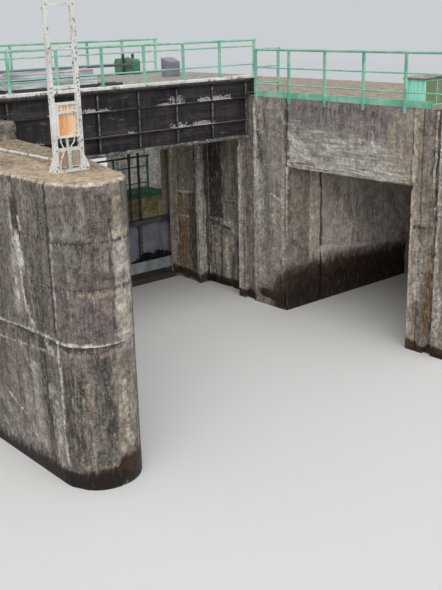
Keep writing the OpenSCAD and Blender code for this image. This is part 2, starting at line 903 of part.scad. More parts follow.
pier_nose();
pier_recess_back();
pier_pilaster();
pier_slot_back();
pier_tail();
pier_bearing_block();
bearing_plinths();
wall_column();
outlet_lintel();
outlet_side_wall();
downstream_wall();
rear_wall();
upstream_end_wall();
abutment_deck();
bay_recess_back();
bay_pilaster();
bay_slot_back();
bay_wall_upstream();
gate_sill();
slot_guides();
bridge_deck();
cover_plates();
downstream_girder();
upstream_girder();
cross_beams();
bridge_steps();
downstream_railing();
upstream_railing();
wall_railing();
return_railing();
cabinet();
cabinet_roof();
stored_stop_logs();
control_box();
mast_frame();
mast_panel_box();
conduit();
breast_beam();
walkway_beam();
walkway_railing();
hoist_near_pier();
hoist_near_wall();
hoist_shaft();
gate_skin();
gate_ribs();
gate_frame();
stem_near_pier();
stem_near_wall();
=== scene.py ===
import math
import random
import bmesh
import bpy
import numpy as np
from mathutils import Matrix, Vector, geometry, noise


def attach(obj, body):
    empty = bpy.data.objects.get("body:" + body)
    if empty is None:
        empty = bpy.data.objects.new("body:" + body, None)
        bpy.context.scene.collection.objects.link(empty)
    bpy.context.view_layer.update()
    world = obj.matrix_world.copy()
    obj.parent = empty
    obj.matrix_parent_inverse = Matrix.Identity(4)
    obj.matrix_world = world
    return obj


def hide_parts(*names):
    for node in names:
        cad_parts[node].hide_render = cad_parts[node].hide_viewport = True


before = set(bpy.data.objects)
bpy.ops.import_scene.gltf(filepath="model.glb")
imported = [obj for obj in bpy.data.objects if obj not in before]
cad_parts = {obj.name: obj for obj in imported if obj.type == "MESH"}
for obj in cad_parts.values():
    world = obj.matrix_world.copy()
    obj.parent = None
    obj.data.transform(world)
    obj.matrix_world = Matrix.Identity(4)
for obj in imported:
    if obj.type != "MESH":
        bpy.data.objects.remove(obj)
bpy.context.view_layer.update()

scene = bpy.context.scene
scene.view_settings.view_transform = "Standard"

# CAMERA, FLOOR AND LIGHT
# The camera stands over the tail water on the pier's side, a little higher than
# the bridge, and looks down across the nose to the bay and the side outlet. A
# pale floor lies where the river was. The light is an overcast sky.
yaw, pitch, roll = math.radians(40.65), math.radians(17.53), math.radians(-1.343)
ahead = Vector((math.sin(yaw) * math.cos(pitch), math.cos(yaw) * math.cos(pitch), -math.sin(pitch)))
level = Vector((math.cos(yaw), -math.sin(yaw), 0))
upright = level.cross(ahead)
right = math.cos(roll) * level + math.sin(roll) * upright
up = math.cos(roll) * upright - math.sin(roll) * level
camera = bpy.data.objects.new("camera", bpy.data.cameras.new("camera"))
camera.data.sensor_width = 36
camera.data.lens = 54.06
camera.data.clip_end = 500
aim = Matrix((right, up, -ahead)).transposed().to_4x4()
camera.matrix_world = Matrix.Translation((-13.01, -16.2, 7.0)) @ aim
scene.collection.objects.link(camera)
scene.camera = camera


def add_node(tree, kind, inputs=(), **settings):
    """Adds a node, its inputs given by name or number as values or sockets. A plain kind is a shader node."""
    made = tree.nodes.new(kind if "Node" in kind else "ShaderNode" + kind)
    for key, value in settings.items():
        setattr(made, key, value)
    for key, value in dict(inputs).items():
        if isinstance(value, bpy.types.NodeSocket):
            tree.links.new(value, made.inputs[key])
        else:
            made.inputs[key].default_value = value
    return made


def blank_material(name):
    """A material with its Principled shader and nothing else set."""
    material = bpy.data.materials.new(name)
    material.use_nodes = True
    return material, material.node_tree, material.node_tree.nodes["Principled BSDF"]


floor_mesh = bpy.data.meshes.new("floor")
floor_mesh.from_pydata([(-90, -90, 0), (90, -90, 0), (90, 90, 0), (-90, 90, 0)], [], [(0, 1, 2, 3)])
floor = bpy.data.objects.new("floor", floor_mesh)
scene.collection.objects.link(floor)
floor_material, tree, shader = blank_material("pale floor")
seen = add_node(tree, "LightPath")
direct = seen.outputs["Is Camera Ray"]
for ray in ("Is Glossy Ray", "Is Transmission Ray"):
    direct = add_node(tree, "Math", {0: direct, 1: seen.outputs[ray]}, operation="MAXIMUM").outputs[0]
# Far away the floor takes the tone of the sky, so that no horizon shows
away = add_node(tree, "VectorMath", {0: add_node(tree, "TexCoord").outputs["Object"]}, operation="LENGTH")
haze = add_node(tree, "MapRange", {0: away.outputs["Value"], 1: 13, 2: 42})
pale = add_node(
    tree, "Mix", {0: haze.outputs[0], 6: (0.80, 0.80, 0.78, 1), 7: (0.60, 0.62, 0.64, 1)}, data_type="RGBA")
tone = add_node(tree, "Mix", {0: direct, 6: (0.42, 0.40, 0.36, 1), 7: pale.outputs[2]}, data_type="RGBA")
tree.links.new(tone.outputs[2], shader.inputs["Base Color"])
shader.inputs["Roughness"].default_value = 0.9
floor_mesh.materials.append(floor_material)

sky = bpy.data.worlds.new("overcast sky")
sky.use_nodes = True
sky.node_tree.nodes["Background"].inputs["Color"].default_value = (0.93, 0.96, 1.0, 1)
sky.node_tree.nodes["Background"].inputs["Strength"].default_value = 0.64
scene.world = sky
# The bright part of the clouds stands high, and the open sky over the tail water fills in from low down
for name, energy, spread, tilt, turn_to in (
    ("cloud glow", 1.15, 70, 38, -29), ("open sky", 0.92, 46, 80, -42)):
    lamp = bpy.data.objects.new(name, bpy.data.lights.new(name, "SUN"))
    lamp.data.energy = energy
    lamp.data.angle = math.radians(spread)
    lamp.data.color = (1.0, 0.97, 0.93)
    lamp.rotation_euler = (math.radians(tilt), 0, math.radians(turn_to))
    scene.collection.objects.link(lamp)

# PIER
# The river pier is one mass of cast concrete: a rounded nose downstream, a
# recess and a slot in the side towards the bay, and a half-round tail. It was
# cast in lifts, whose joints leak lime. The chamfer round the top is worn.
CONCRETE_SEED = 7


def plan_ring(corners):
    """Points along a closed plan. A corner is x, y and the spacing along the side that it starts."""
    points = []
    for (x0, y0, step), (x1, y1, _) in zip(corners, corners[1:] + corners[:1]):
        count = max(1, round(math.hypot(x1 - x0, y1 - y0) / step))
        points += [(x0 + (x1 - x0) * i / count, y0 + (y1 - y0) * i / count) for i in range(count)]
    return np.array(points)


def out_normals(ring):
    """Outward normals in plan of a ring that runs anticlockwise, lengthened at corners."""
    before = ring - np.roll(ring, 1, 0)
    after = np.roll(ring, -1, 0) - ring
    sides = [np.stack([d[:, 1], -d[:, 0]], 1) / np.linalg.norm(d, axis=1)[:, None] for d in (before, after)]
    both = sides[0] + sides[1]
    return both / np.maximum((both * sides[0]).sum(1), 0.6)[:, None]


def fractal(co, size, seed, octaves=4):
    """Smooth noise from about -1 to 1 at each point, its largest lumps the given size."""
    shift = Vector((seed * 3.7, seed * 1.3, seed * 7.1))
    return np.array([noise.fractal(Vector(c) / size + shift, 0.9, 2.1, octaves) for c in co])


def smooth(mesh, angle):
    """Shades a mesh smooth, but for its edges above an angle in degrees."""
    mesh.shade_smooth()
    mesh.set_sharp_from_angle(angle=math.radians(angle))


def cast_block(name, corners, levels, cap_step, run_from, turn=None, rough=0.006):
    """Closed concrete block: a plan swept through levels of height and set-back, its top gridded.
    Returns the object and, for each vertex, its length round the plan and its height, which
    goes on over the top as the distance from the rim."""
    ring = plan_ring(corners)
    normal = out_normals(ring)
    n = len(ring)
    lengths = np.linalg.norm(np.roll(ring, -1, 0) - ring, axis=1)
    run = np.concatenate([[0], np.cumsum(lengths)[:-1]])
    start = np.argmin(np.linalg.norm(ring - np.array(run_from), axis=1))
    run = run - run[start]
    co, across = [], []
    for z, back in levels:
        co += [(x, y, z) for x, y in ring - normal * back]
        across += list(run)
    faces = [
        (k * n + i, k * n + (i + 1) % n, (k + 1) * n + (i + 1) % n, (k + 1) * n + i)
        for k in range(len(levels) - 1) for i in range(n)
    ]
    faces.append(tuple(range(n))[::-1])
    rim = np.array(co[-n:])[:, :2]
    lo, hi = rim.min(0), rim.max(0)
    grid = [
        Vector((x, y)) for x in np.arange(lo[0] + cap_step / 2, hi[0], cap_step)
        for y in np.arange(lo[1] + cap_step / 2, hi[1], cap_step)
        if np.min(np.abs(rim - (x, y)).sum(1)) > cap_step * 0.6
    ]
    edges = [(i, (i + 1) % n) for i in range(n)]
    flat, _, tris, origin, _, _ = geometry.delaunay_2d_cdt(
        [Vector(p) for p in rim] + grid, edges, [], 1, 1e-5)
    top = len(co) - n
    ids = []
    lift = [0.0] * len(co)
    for point, source in zip(flat, origin):
        if source and source[0] < n:
            ids.append(top + source[0])
        else:
            ids.append(len(co))
            co.append((point.x, point.y, levels[-1][0]))
            away = np.linalg.norm(rim - (point.x, point.y), axis=1)
            across.append(run[away.argmin()])
            lift.append(away.min())
    faces += [tuple(ids[i] for i in tri) for tri in tris]
    co, across = np.array(co), np.array(across)
    lumps = fractal(co, 0.55, CONCRETE_SEED, 5) * rough
    lumps = lumps + fractal(co, 0.07, CONCRETE_SEED + 1, 2) * rough * 0.35
    push = np.zeros_like(co)
    rings = len(levels) * n
    push[:rings, :2] = np.tile(normal, (len(levels), 1)) * lumps[:rings, None]
    push[top:, 2] = lumps[top:]
    # Arrises lose flakes here and there: the corner rows move in a little further
    chips = np.maximum(fractal(co, 0.16, CONCRETE_SEED + 2, 3) - 0.25, 0) * 0.05
    sharp = np.zeros(len(co), bool)
    bend = np.linalg.norm(normal, axis=1) > 1.05
    sharp[:rings] = np.tile(bend, len(levels))
    sharp[top - n:rings] = True
    push[sharp, :2] -= (np.resize(normal, (rings, 2))[sharp[:rings]] * chips[:rings][sharp[:rings], None])
    push[co[:, 2] <= levels[0][0] + 1e-6] = 0
    co = co + push
    if turn:
        co = turn(co)
    mesh = bpy.data.meshes.new(name)
    mesh.from_pydata(co.tolist(), [], faces)
    tidy = bmesh.new()
    tidy.from_mesh(mesh)
    bmesh.ops.recalc_face_normals(tidy, faces=tidy.faces)
    tidy.to_mesh(mesh)
    tidy.free()
    smooth(mesh, 38)
    block = bpy.data.objects.new(name, mesh)
    scene.collection.objects.link(block)
    height = np.array([v.co.z for v in mesh.vertices]) + lift
    return block, np.stack([across, height], 1)


# Worn pale cement, drips of lime, black algae, moss, rust, tan silt and the wet feet of walls
STAINS = ("pale", "lime", "dark", "moss", "rust", "tan", "wet")


def marks(kind, *lines):
    """Marks of one kind. A line is the run and height of its ends, its half width
    and its strength."""
    return [(kind, *line) for line in lines]


def stain(block, where, marks, boards=None):
    """Writes each stain's strength at each vertex. A mark is its kind, the run and height of
    its two ends, its half width and its strength. Its line wanders and its width varies.
    The shuttering boards are counted along boards, or else along the marks' own run."""
    layers = {kind: np.zeros(len(where)) for kind in STAINS}
    s, z = where[:, 0], where[:, 1]
    aside = fractal(np.stack([s * 0.4, z, z * 0], 1), 0.55, 31, 3) * 0.035
    lifted = fractal(np.stack([s, z * 0.4, z * 0 + 5], 1), 0.6, 32, 3) * 0.014
    wide = np.clip(1 + 0.8 * fractal(np.stack([s, z * 0.7, z * 0 + 9], 1), 0.30, 33, 3), 0.3, 2.0)
    place = np.stack([s + aside, z + lifted], 1)
    for kind, s0, z0, s1, z1, reach, strength in marks:
        start, along = np.array((s0, z0)), np.array((s1 - s0, z1 - z0))
        share = np.clip(((place - start) @ along) / max(along @ along, 1e-9), 0, 1)
        gap = np.linalg.norm(place - start - share[:, None] * along, axis=1)
        # Broad marks keep a steadier edge than thin ones
        half = max(reach, 0.024) * wide ** min(1, 0.07 / max(reach, 0.024))
        layers[kind] = np.maximum(layers[kind], strength * np.clip(1.5 - 0.8 * gap / half, 0, 1))
    layers["run"] = s if boards is None else boards
    for kind, values in layers.items():
        block.data.attributes.new(kind, "FLOAT", "POINT").data.foreach_set("value", values.astype(np.float32))


def carve(block, where, dents):
    """Pushes the face in along short lines: run and height of the ends, half width, depth."""
    inward = np.array([v.normal for v in block.data.vertices])
    co = np.array([v.co for v in block.data.vertices])
    for s0, z0, s1, z1, reach, depth in dents:
        start, along = np.array((s0, z0)), np.array((s1 - s0, z1 - z0))
        share = np.clip(((where - start) @ along) / max(along @ along, 1e-9), 0, 1)
        gap = np.linalg.norm(where - start - share[:, None] * along, axis=1)
        co -= inward * (depth * np.clip(1.5 - gap / reach, 0, 1))[:, None]
    block.data.vertices.foreach_set("co", co.ravel())
    block.data.update()


def rain_runs(rng, s0, s1, top, count, low=0.0):
    """Marks of a seeded choice: runs below an edge, as old concrete has them everywhere."""
    breadth = {"dark": 1.3, "lime": 0.45, "tan": 1.0, "moss": 0.6, "rust": 0.5}
    rows = []
    for _ in range(count):
        kind = rng.choices(("dark", "lime", "tan", "moss", "rust"), (7, 4, 4, 3, 1))[0]
        s, drop = rng.uniform(s0, s1), rng.uniform(0.3, 2.6)
        start = top - rng.choice((0, 0, 0.6, 1.4)) * rng.random()
        rows.append((kind, s, start, s + rng.uniform(-0.06, 0.06), max(low, start - drop),
                     rng.uniform(0.03, 0.13) * breadth[kind], rng.uniform(0.35, 0.75)))
    return rows


def mixed(tree, factor, a, b, mode="MIX"):
    """One colour over another."""
    return add_node(tree, "Mix", {0: factor, 6: a, 7: b}, data_type="RGBA", blend_type=mode).outputs[2]


def calc(tree, operation, a, b=0.0, clamp=False):
    """A sum, product or the like of two values."""
    return add_node(tree, "Math", {0: a, 1: b}, operation=operation, use_clamp=clamp).outputs[0]


def times(tree, a, b):
    """The product of two values."""
    return calc(tree, "MULTIPLY", a, b)


def ramp(tree, value, low, high, to_low=0.0, to_high=1.0, kind="LINEAR"):
    """A value between low and high moved to lie between two others."""
    ends = {"Value": value, "From Min": low, "From Max": high, "To Min": to_low, "To Max": to_high}
    return add_node(tree, "MapRange", ends, interpolation_type=kind).outputs[0]


def grain_of(tree, vector, scale, detail, rough, stretch=None):
    """Soft noise at a scale, or with a scale along each axis."""
    if stretch:
        vector = add_node(tree, "Mapping", {"Vector": vector, "Scale": stretch}).outputs[0]
    settings = {"Vector": vector, "Scale": scale, "Detail": detail, "Roughness": rough}
    return add_node(tree, "TexNoise", settings).outputs[0]


def cloud(tree, vector, scale, low, high, detail=4.0, stretch=None):
    """Soft noise turned into a mask that rises from 0 to 1 between two of its values."""
    return ramp(tree, grain_of(tree, vector, scale, detail, 0.62, stretch), low, high, kind="SMOOTHSTEP")


def facing_up(tree, low, high, kind="LINEAR"):
    """A mask of the faces that look upward."""
    normal = add_node(tree, "NewGeometry").outputs["Normal"]
    return ramp(tree, add_node(tree, "SeparateXYZ", {0: normal}).outputs["Z"], low, high, kind=kind)


def toned(tree, tint, amount):
    """A colour made lighter or darker by a value."""
    grey = add_node(tree, "CombineColor", {0: amount, 1: amount, 2: amount}).outputs[0]
    return mixed(tree, 1.0, tint, grey, "MULTIPLY")


def new_group(name, colours, values=()):
    """A shader group that takes a vector, colours and values by name, and gives a colour, a
    roughness and a height. Returns it with its input and output nodes."""
    group = bpy.data.node_groups.new(name, "ShaderNodeTree")
    sockets = [("Vector", "INPUT", "Vector"), *((label, "INPUT", "Color") for label in colours)]
    sockets += [(label, "INPUT", "Float") for label in values]
    sockets += [("Color", "OUTPUT", "Color"), ("Roughness", "OUTPUT", "Float"), ("Height", "OUTPUT", "Float")]
    for label, side, kind in sockets:
        group.interface.new_socket(name=label, in_out=side, socket_type="NodeSocket" + kind)
    return group, group.nodes.new("NodeGroupInput").outputs, group.nodes.new("NodeGroupOutput").inputs


concrete_group, given, result = new_group(
    "weathered concrete",
    ("Base", "Shade", "Top"), ("Streaks", "Grit", "Scratches", "Run", *map(str.capitalize, STAINS)))
g, at = concrete_group, given["Vector"]
# Large clouds and rain streaks of three widths between the two tones of the cast face
clouds = cloud(g, at, 0.8, 0.34, 0.66, 5.0)
broad = cloud(g, at, 1.0, 0.42, 0.62, 4.0, (3.4, 3.4, 0.30))
streaks = cloud(g, at, 1.0, 0.42, 0.64, 5.0, (11, 11, 0.55))
fine_streaks = cloud(g, at, 1.0, 0.42, 0.62, 4.0, (36, 36, 1.8))
runs = times(g, calc(g, "ADD", times(g, broad, 0.7), streaks), given["Streaks"])
deep = calc(g, "ADD", times(g, clouds, 0.40), runs, clamp=True)
tint = mixed(g, deep, given["Base"], given["Shade"])
# Some areas lean to purple, some to green and some to brown, and fine black streaks cross them
for mask, share, colour in (
    (cloud(g, at, 0.55, 0.48, 0.64), 0.55, (0.215, 0.158, 0.162, 1)),
    (cloud(g, at, 1.0, 0.50, 0.62, 4.0, (2.3, 2.3, 0.5)), 0.45, (0.165, 0.178, 0.150, 1)),
    (cloud(g, at, 1.0, 0.54, 0.66, 5.0, (6.5, 6.5, 0.8)), 0.45, (0.36, 0.30, 0.235, 1)),
    (fine_streaks, 0.42, (0.085, 0.072, 0.070, 1)),
):
    tint = mixed(g, times(g, mask, times(g, given["Grit"], share)), tint, colour)
washes = times(g, cloud(g, at, 1.0, 0.55, 0.70, 6.0, (14, 14, 0.9)), given["Grit"])
tint = mixed(g, times(g, washes, 0.50), tint, (0.43, 0.40, 0.365, 1))
# Shuttering boards, each a shade of its own, with a faint line between them
board = times(g, given["Run"], 1 / 0.17)
each = add_node(g, "TexWhiteNoise", {"W": calc(g, "FLOOR", board)}, noise_dimensions="1D").outputs["Value"]
tint = mixed(g, times(g, each, 0.20), tint, (0.36, 0.33, 0.30, 1))
seam = ramp(g, calc(g, "FRACT", board), 0.0, 0.05, 1.0, 0.0)
seam = times(g, seam, cloud(g, at, 1.3, 0.45, 0.6))
tint = mixed(g, times(g, seam, 0.35), tint, (0.06, 0.05, 0.045, 1))
# Upward faces are bleached and dusty, with damp patches
upward = facing_up(g, 0.35, 0.85, "SMOOTHSTEP")
damp = cloud(g, at, 1.0, 0.36, 0.70, 6.0, (2.0, 0.9, 1))
dusty = mixed(g, times(g, damp, 0.45), given["Top"], mixed(g, 0.6, given["Top"], given["Base"]))
dusty = mixed(
    g, times(g, cloud(g, at, 5.0, 0.50, 0.74, 7.0), 0.30), dusty, mixed(g, 0.5, given["Top"], given["Shade"]))
tint = mixed(g, upward, tint, dusty)
# Stains: a mark's strength times noise, so that it is patchy inside and frays at its edges
frayed = grain_of(g, at, 1.0, 6.0, 0.7, (20, 20, 4.5))
clotted = grain_of(g, at, 11.0, 7.0, 0.75)
washed = grain_of(g, at, 1.0, 5.0, 0.6, (3.5, 3.5, 6))
frays = ramp(g, frayed, 0.36, 0.64, 0.20, 1.80)
clots = ramp(g, clotted, 0.36, 0.64, 0.40, 1.60)
wash = ramp(g, washed, 0.36, 0.64, 0.62, 1.38)
for kind, pattern, colour, strength in (
    ("Pale", wash, (0.50, 0.465, 0.43, 1), 0.90),
    ("Tan", clots, (0.43, 0.355, 0.265, 1), 0.75),
    ("Moss", frays, (0.070, 0.100, 0.045, 1), 0.85),
    ("Rust", frays, (0.30, 0.155, 0.055, 1), 0.85),
    ("Dark", frays, (0.052, 0.045, 0.043, 1), 0.85),
    ("Lime", clots, (0.68, 0.65, 0.605, 1), 0.92),
):
    broken = times(g, given[kind], pattern)
    amount = ramp(g, broken, 0.12, 1.0, 0.0, strength, "SMOOTHSTEP")
    tint = mixed(g, amount, tint, colour)
# Drift has scratched the pale parts from side to side
for seed_shift, colour in ((0.0, (0.78, 0.75, 0.71, 1)), (7.3, (0.17, 0.15, 0.145, 1))):
    moved = add_node(g, "VectorMath", {0: at, 1: (seed_shift,) * 3}, operation="ADD").outputs[0]
    scratched = times(g, cloud(g, moved, 1.0, 0.53, 0.62, 5.0, (1.5, 1.5, 34)), given["Scratches"])
    worn = calc(g, "MAXIMUM", given["Lime"], given["Pale"])
    tint = mixed(g, calc(g, "MULTIPLY", scratched, worn, True), tint, colour)
# Sand and small stones in the face, and pores between them
blotched = grain_of(g, at, 5.0, 5.0, 0.65)
sand = grain_of(g, at, 15.0, 8.0, 0.82)
shade_of = times(g, ramp(g, blotched, 0.34, 0.66, 0.68, 1.30), ramp(g, sand, 0.34, 0.66, 0.34, 1.70))
tint = mixed(g, given["Grit"], tint, toned(g, tint, shade_of))
stones = add_node(g, "TexVoronoi", {"Vector": at, "Scale": 38.0, "Randomness": 1.0})
chosen = add_node(g, "SeparateColor", {0: stones.outputs["Color"]}).outputs[0]
apart = stones.outputs["Distance"]
pale_stone = times(g, calc(g, "GREATER_THAN", chosen, 0.86), calc(g, "LESS_THAN", apart, 0.34))
tint = mixed(g, times(g, pale_stone, times(g, given["Grit"], 0.55)), tint, (0.44, 0.41, 0.37, 1))
pores = ramp(g, apart, 0.10, 0.24, 1.0, 0.0)
pores = times(g, pores, calc(g, "LESS_THAN", chosen, 0.30))
tint = mixed(g, times(g, pores, times(g, given["Grit"], 0.7)), tint, (0.03, 0.027, 0.025, 1))
soaked = times(g, given["Wet"], ramp(g, frayed, 0.3, 0.7, 0.6, 1.4))
soaked = ramp(g, soaked, 0.20, 0.80, kind="SMOOTHSTEP")
tint = mixed(g, times(g, soaked, 0.95), tint, mixed(g, 1.0, tint, (0.11, 0.068, 0.048, 1), "MULTIPLY"))
g.links.new(tint, result["Color"])
g.links.new(ramp(g, soaked, 0.0, 1.0, 0.90, 0.50), result["Roughness"])
relief = calc(g, "ADD", times(g, sand, 0.7), times(g, pores, -0.6))
relief = calc(g, "ADD", relief, times(g, calc(g, "ADD", seam, streaks), -0.25))
g.links.new(relief, result["Height"])


def group_material(name, group, values, bump=0.4, depth=0.004, metallic=0.0, shine=0.5, read=()):
    """A material that takes its colour, roughness and relief from a shader group. The sockets
    named in read take their values from the mesh."""
    material, tree, shader = blank_material(name)
    made = add_node(tree, "Group", node_tree=group)
    tree.links.new(add_node(tree, "TexCoord").outputs["Object"], made.inputs["Vector"])
    for label, value in values.items():
        made.inputs[label].default_value = (*value, 1) if isinstance(value, tuple) else value
    for label in read:
        attribute = add_node(tree, "Attribute", attribute_name=label.lower())
        tree.links.new(attribute.outputs["Fac"], made.inputs[label])
    relief = add_node(tree, "Bump", {"Height": made.outputs["Height"], "Strength": bump, "Distance": depth})
    tree.links.new(made.outputs["Color"], shader.inputs["Base Color"])
    tree.links.new(made.outputs["Roughness"], shader.inputs["Roughness"])
    tree.links.new(relief.outputs[0], shader.inputs["Normal"])
    shader.inputs["Metallic"].default_value = metallic
    shader.inputs["Specular IOR Level"].default_value = shine
    return material


def concrete(name, base, shade, top, streak, grit=1.0, scratches=0.0):
    """A concrete material with its own tones, which finds its stains on the mesh."""
    values = {"Base": base, "Shade": shade, "Top": top}
    values.update({"Streaks": streak, "Grit": grit, "Scratches": scratches})
    stains = [kind.capitalize() for kind in STAINS]
    return group_material(name, concrete_group, values, 0.75, 0.012, shine=0.25, read=["Run", *stains])


def levels_of(top, step, joints=(), chamfer=0.0, foot=0.0):
    """Heights and set-backs from the foot to the top, with a groove at each joint (height, depth, width)."""
    rows = {}
    edge = top - chamfer
    for z in np.linspace(foot, edge, round((edge - foot) / step) + 1):
        if all(abs(z - j[0]) > j[2] for j in joints):
            rows[round(float(z), 4)] = 0.0
    for z, depth, width in joints:
        low, high = z - width / 2, z + width / 2
        rows.update({low - 0.004: 0.0, low: depth, high: depth, high + 0.004: 0.0})
    if chamfer:
        rows.update({top - chamfer * 0.45: chamfer * 0.40, top: chamfer})
    return sorted(rows.items())


def finish_piece(piece, material, slot, *nodes, body="structure"):
    """The piece takes its material, rides on a body and stands for CAD nodes.
    The slot is not used.
    """
    if material:
        piece.data.materials.append(material)
    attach(piece, body)
    if nodes:
        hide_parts(*nodes)


nose_centre, nose_radius = (-6.14, -5.13), 0.65
tail_centre, tail_radius = (-5.725, 4.615), 1.065
pier_corners = [(-6.79, 4.615, 0.25), (-6.79, -2.6, 0.032), (-6.79, -5.12, 0.02), (-6.777, -5.135, 0.02)]
for turn in np.arange(182, 345, 2.8):
    a = math.radians(turn)
    reach = nose_radius - (0.015 if 268 < turn < 271 else 0.0)
    pier_corners.append((nose_centre[0] + reach * math.cos(a), nose_centre[1] + reach * math.sin(a), 0.045))
pier_corners += [
    (-5.05, -3.55, 0.06), (-4.84, -2.03, 0.06), (-4.66, -0.5, 0.08), (-4.66, 0.25, 0.08), (-5.01, 0.25, 0.10),
    (-5.01, 1.80, 0.10), (-4.66, 1.80, 0.12), (-4.66, 3.05, 0.08), (-4.96, 3.05, 0.08),
        (-4.96, 3.40, 0.08), (-4.66, 3.40, 0.15)
]
for turn in np.arange(0, 180, 6):
    a = math.radians(turn)
    x, y = tail_centre[0] + tail_radius * math.cos(a), tail_centre[1] + tail_radius * math.sin(a)
    pier_corners.append((x, y, 0.2))
pier_top, cast_joint = 4.8, 2.35
pier_levels = levels_of(
    pier_top, 0.034, [(cast_joint, 0.022, 0.022), (3.235, 0.006, 0.012), (3.935, 0.006, 0.012)], 0.045)
pier, pier_where = cast_block("pier", pier_corners, pier_levels, 0.06, (-6.79, -5.12))
# Stains of the river face and the nose, from the joint where the nose begins, then
# those of the sides that the camera doesn't see
pier_marks = marks(
    "dark", (-2.6, 0.05, 0.6, 0.08, 0.13, 1.8), (-2.6, 2.22, -0.3, 2.26, 0.05, 0.6),
    (-2.6, 2.5, -1.2, 2.55, 0.09, 0.4), (-2.0, 4.75, -1.9, 2.5, 0.3, 0.5),
    (-1.9, 2.2, -2.0, 0.5, 0.35, 0.42), (-1.78, 1.86, -2.03, 0.4, 0.05, 0.4),
    (-1.78, 2.16, -1.04, 2.21, 0.03, 0.4), (-1.76, 2.27, 0.04, 2.33, 0.02, 0.7),
    (-1.7, 4.7, -1.7, 2.5, 0.28, 0.42), (-1.58, 1.82, -1.73, 0.32, 0.16, 0.28),
    (-1.35, 2.1, -1.3, 1.2, 0.25, 0.35), (-1.27, 4.37, -1.54, 2.7, 0.06, 0.25),
    (-1.25, 4.7, -1.3, 3.0, 0.1, 0.4), (-0.98, 4.74, -0.89, 3.87, 0.06, 1.3),
    (-0.9, 2.1, -0.95, 0.4, 0.14, 0.45), (-0.79, 3.2, -0.76, 2.7, 0.02, 0.8),
    (-0.62, 4.75, -0.6, 2.45, 0.13, 0.42), (-0.44, 2.24, -0.4, 1.34, 0.08, 0.7),
    (-0.42, 2.3, -0.3, 0.9, 0.11, 0.75), (-0.3, 0.9, -0.24, 0.3, 0.07, 0.55),
    (-0.22, 4.75, -0.24, 2.6, 0.09, 0.5), (0.02, 4.78, 0.04, 2.55, 0.022, 1.5),
    (0.16, 3.24, 1.02, 3.23, 0.02, 0.75), (0.19, 3.93, 1.04, 3.94, 0.02, 0.8),
    (0.2, 2.31, 0.92, 2.29, 0.02, 0.9), (0.28, 2.16, 0.27, 1.84, 0.02, 0.5),
    (0.28, 3.67, 0.37, 3.26, 0.04, 0.3), (0.29, 2.7, 0.92, 2.57, 0.06, 0.45),
    (0.3, 1.9, 0.4, 0.5, 0.26, 0.6), (0.33, 4.26, 0.99, 4.08, 0.06, 0.42),
    (0.44, 4.06, 0.63, 4, 0.03, 0.35), (0.47, 1.86, 0.43, 1.03, 0.02, 0.6),
    (0.5, 0.04, 1.0, 0.05, 0.16, 1.8), (0.5, 3.1, 0.6, 2.45, 0.3, 0.42),
    (0.54, 3.47, 0.94, 3.36, 0.07, 0.5), (0.55, 4.7, 0.62, 4.0, 0.22, 0.42),
    (0.66, 2.33, 0.67, 1.53, 0.02, 0.6), (0.68, 3.86, 0.68, 3.3, 0.24, 0.45),
    (0.72, 0.85, 0.7, 0.34, 0.02, 0.5), (0.72, 2.29, 0.87, 1.23, 0.07, 0.62),
    (0.84, 2.1, 0.92, 0.8, 0.12, 0.75), (0.85, 0.9, 0.8, 0.4, 0.25, 0.4),
    (0.85, 1.25, 0.89, 0.99, 0.03, 0.6), (0.92, 2.31, 1.4, 2.27, 0.02, 0.7),
    (1.0, 0.02, 1.7, 0.05, 0.08, 1.4), (1.02, 3.23, 1.46, 3.21, 0.02, 0.8),
    (1.04, 3.94, 1.49, 3.93, 0.02, 0.8), (1.06, 4.53, 1.04, 2.48, 0.02, 0.85),
    (1.08, 3.36, 1.45, 3.46, 0.05, 0.5)
)
pier_marks += marks(
    "lime", (-2.3, 0.42, -1.2, 0.38, 0.16, 0.3), (-2.0, 0.95, -1.5, 0.7, 0.12, 0.34),
    (-1.85, 0.8, -1.4, 0.62, 0.02, 0.5), (-1.81, 2.04, -0.1, 2.17, 0.02, 0.55),
    (-1.79, 2.34, -0.82, 2.39, 0.02, 0.62), (-1.66, 1.05, -1.16, 0.83, 0.02, 0.7),
    (-1.14, 2.03, -0.75, 1.68, 0.04, 0.4), (-1.08, 3.2, -1.04, 2.8, 0.05, 0.5),
    (-1.08, 4.35, -1.05, 3.75, 0.02, 0.62), (-0.92, 3.8, -0.86, 3.4, 0.07, 0.95),
    (-0.89, 3.38, -0.84, 2.8, 0.03, 0.75), (-0.83, 4.17, -0.79, 4.01, 0.02, 0.9),
    (-0.82, 2.39, 0.05, 2.42, 0.02, 0.7), (-0.82, 2.75, -0.62, 2.45, 0.05, 0.6),
    (-0.3, 1.61, -0.3, 1.41, 0.05, 0.5), (-0.28, 2.33, -0.12, 2.2, 0.05, 0.6),
    (-0.18, 1.62, -0.16, 0.98, 0.08, 0.38), (-0.06, 1.3, -0.1, 0.4, 0.1, 0.42),
    (0.05, 2.4, 0.68, 2.39, 0.02, 0.9), (0.06, 2.39, 0.09, 1.69, 0.04, 0.9),
    (0.09, 1.69, 0.08, 0.42, 0.02, 0.7), (0.1, 0.7, 0.11, 0.36, 0.04, 0.85),
    (0.1, 4.06, 0.08, 2.62, 0.02, 0.5), (0.68, 2.39, 1.48, 2.34, 0.02, 0.75),
    (1.12, 2.5, 1.5, 2.45, 0.05, 0.55), (1.15, 1.7, 1.18, 0.8, 0.05, 0.5),
    (1.45, 4.1, 1.47, 0.6, 0.03, 0.4)
)
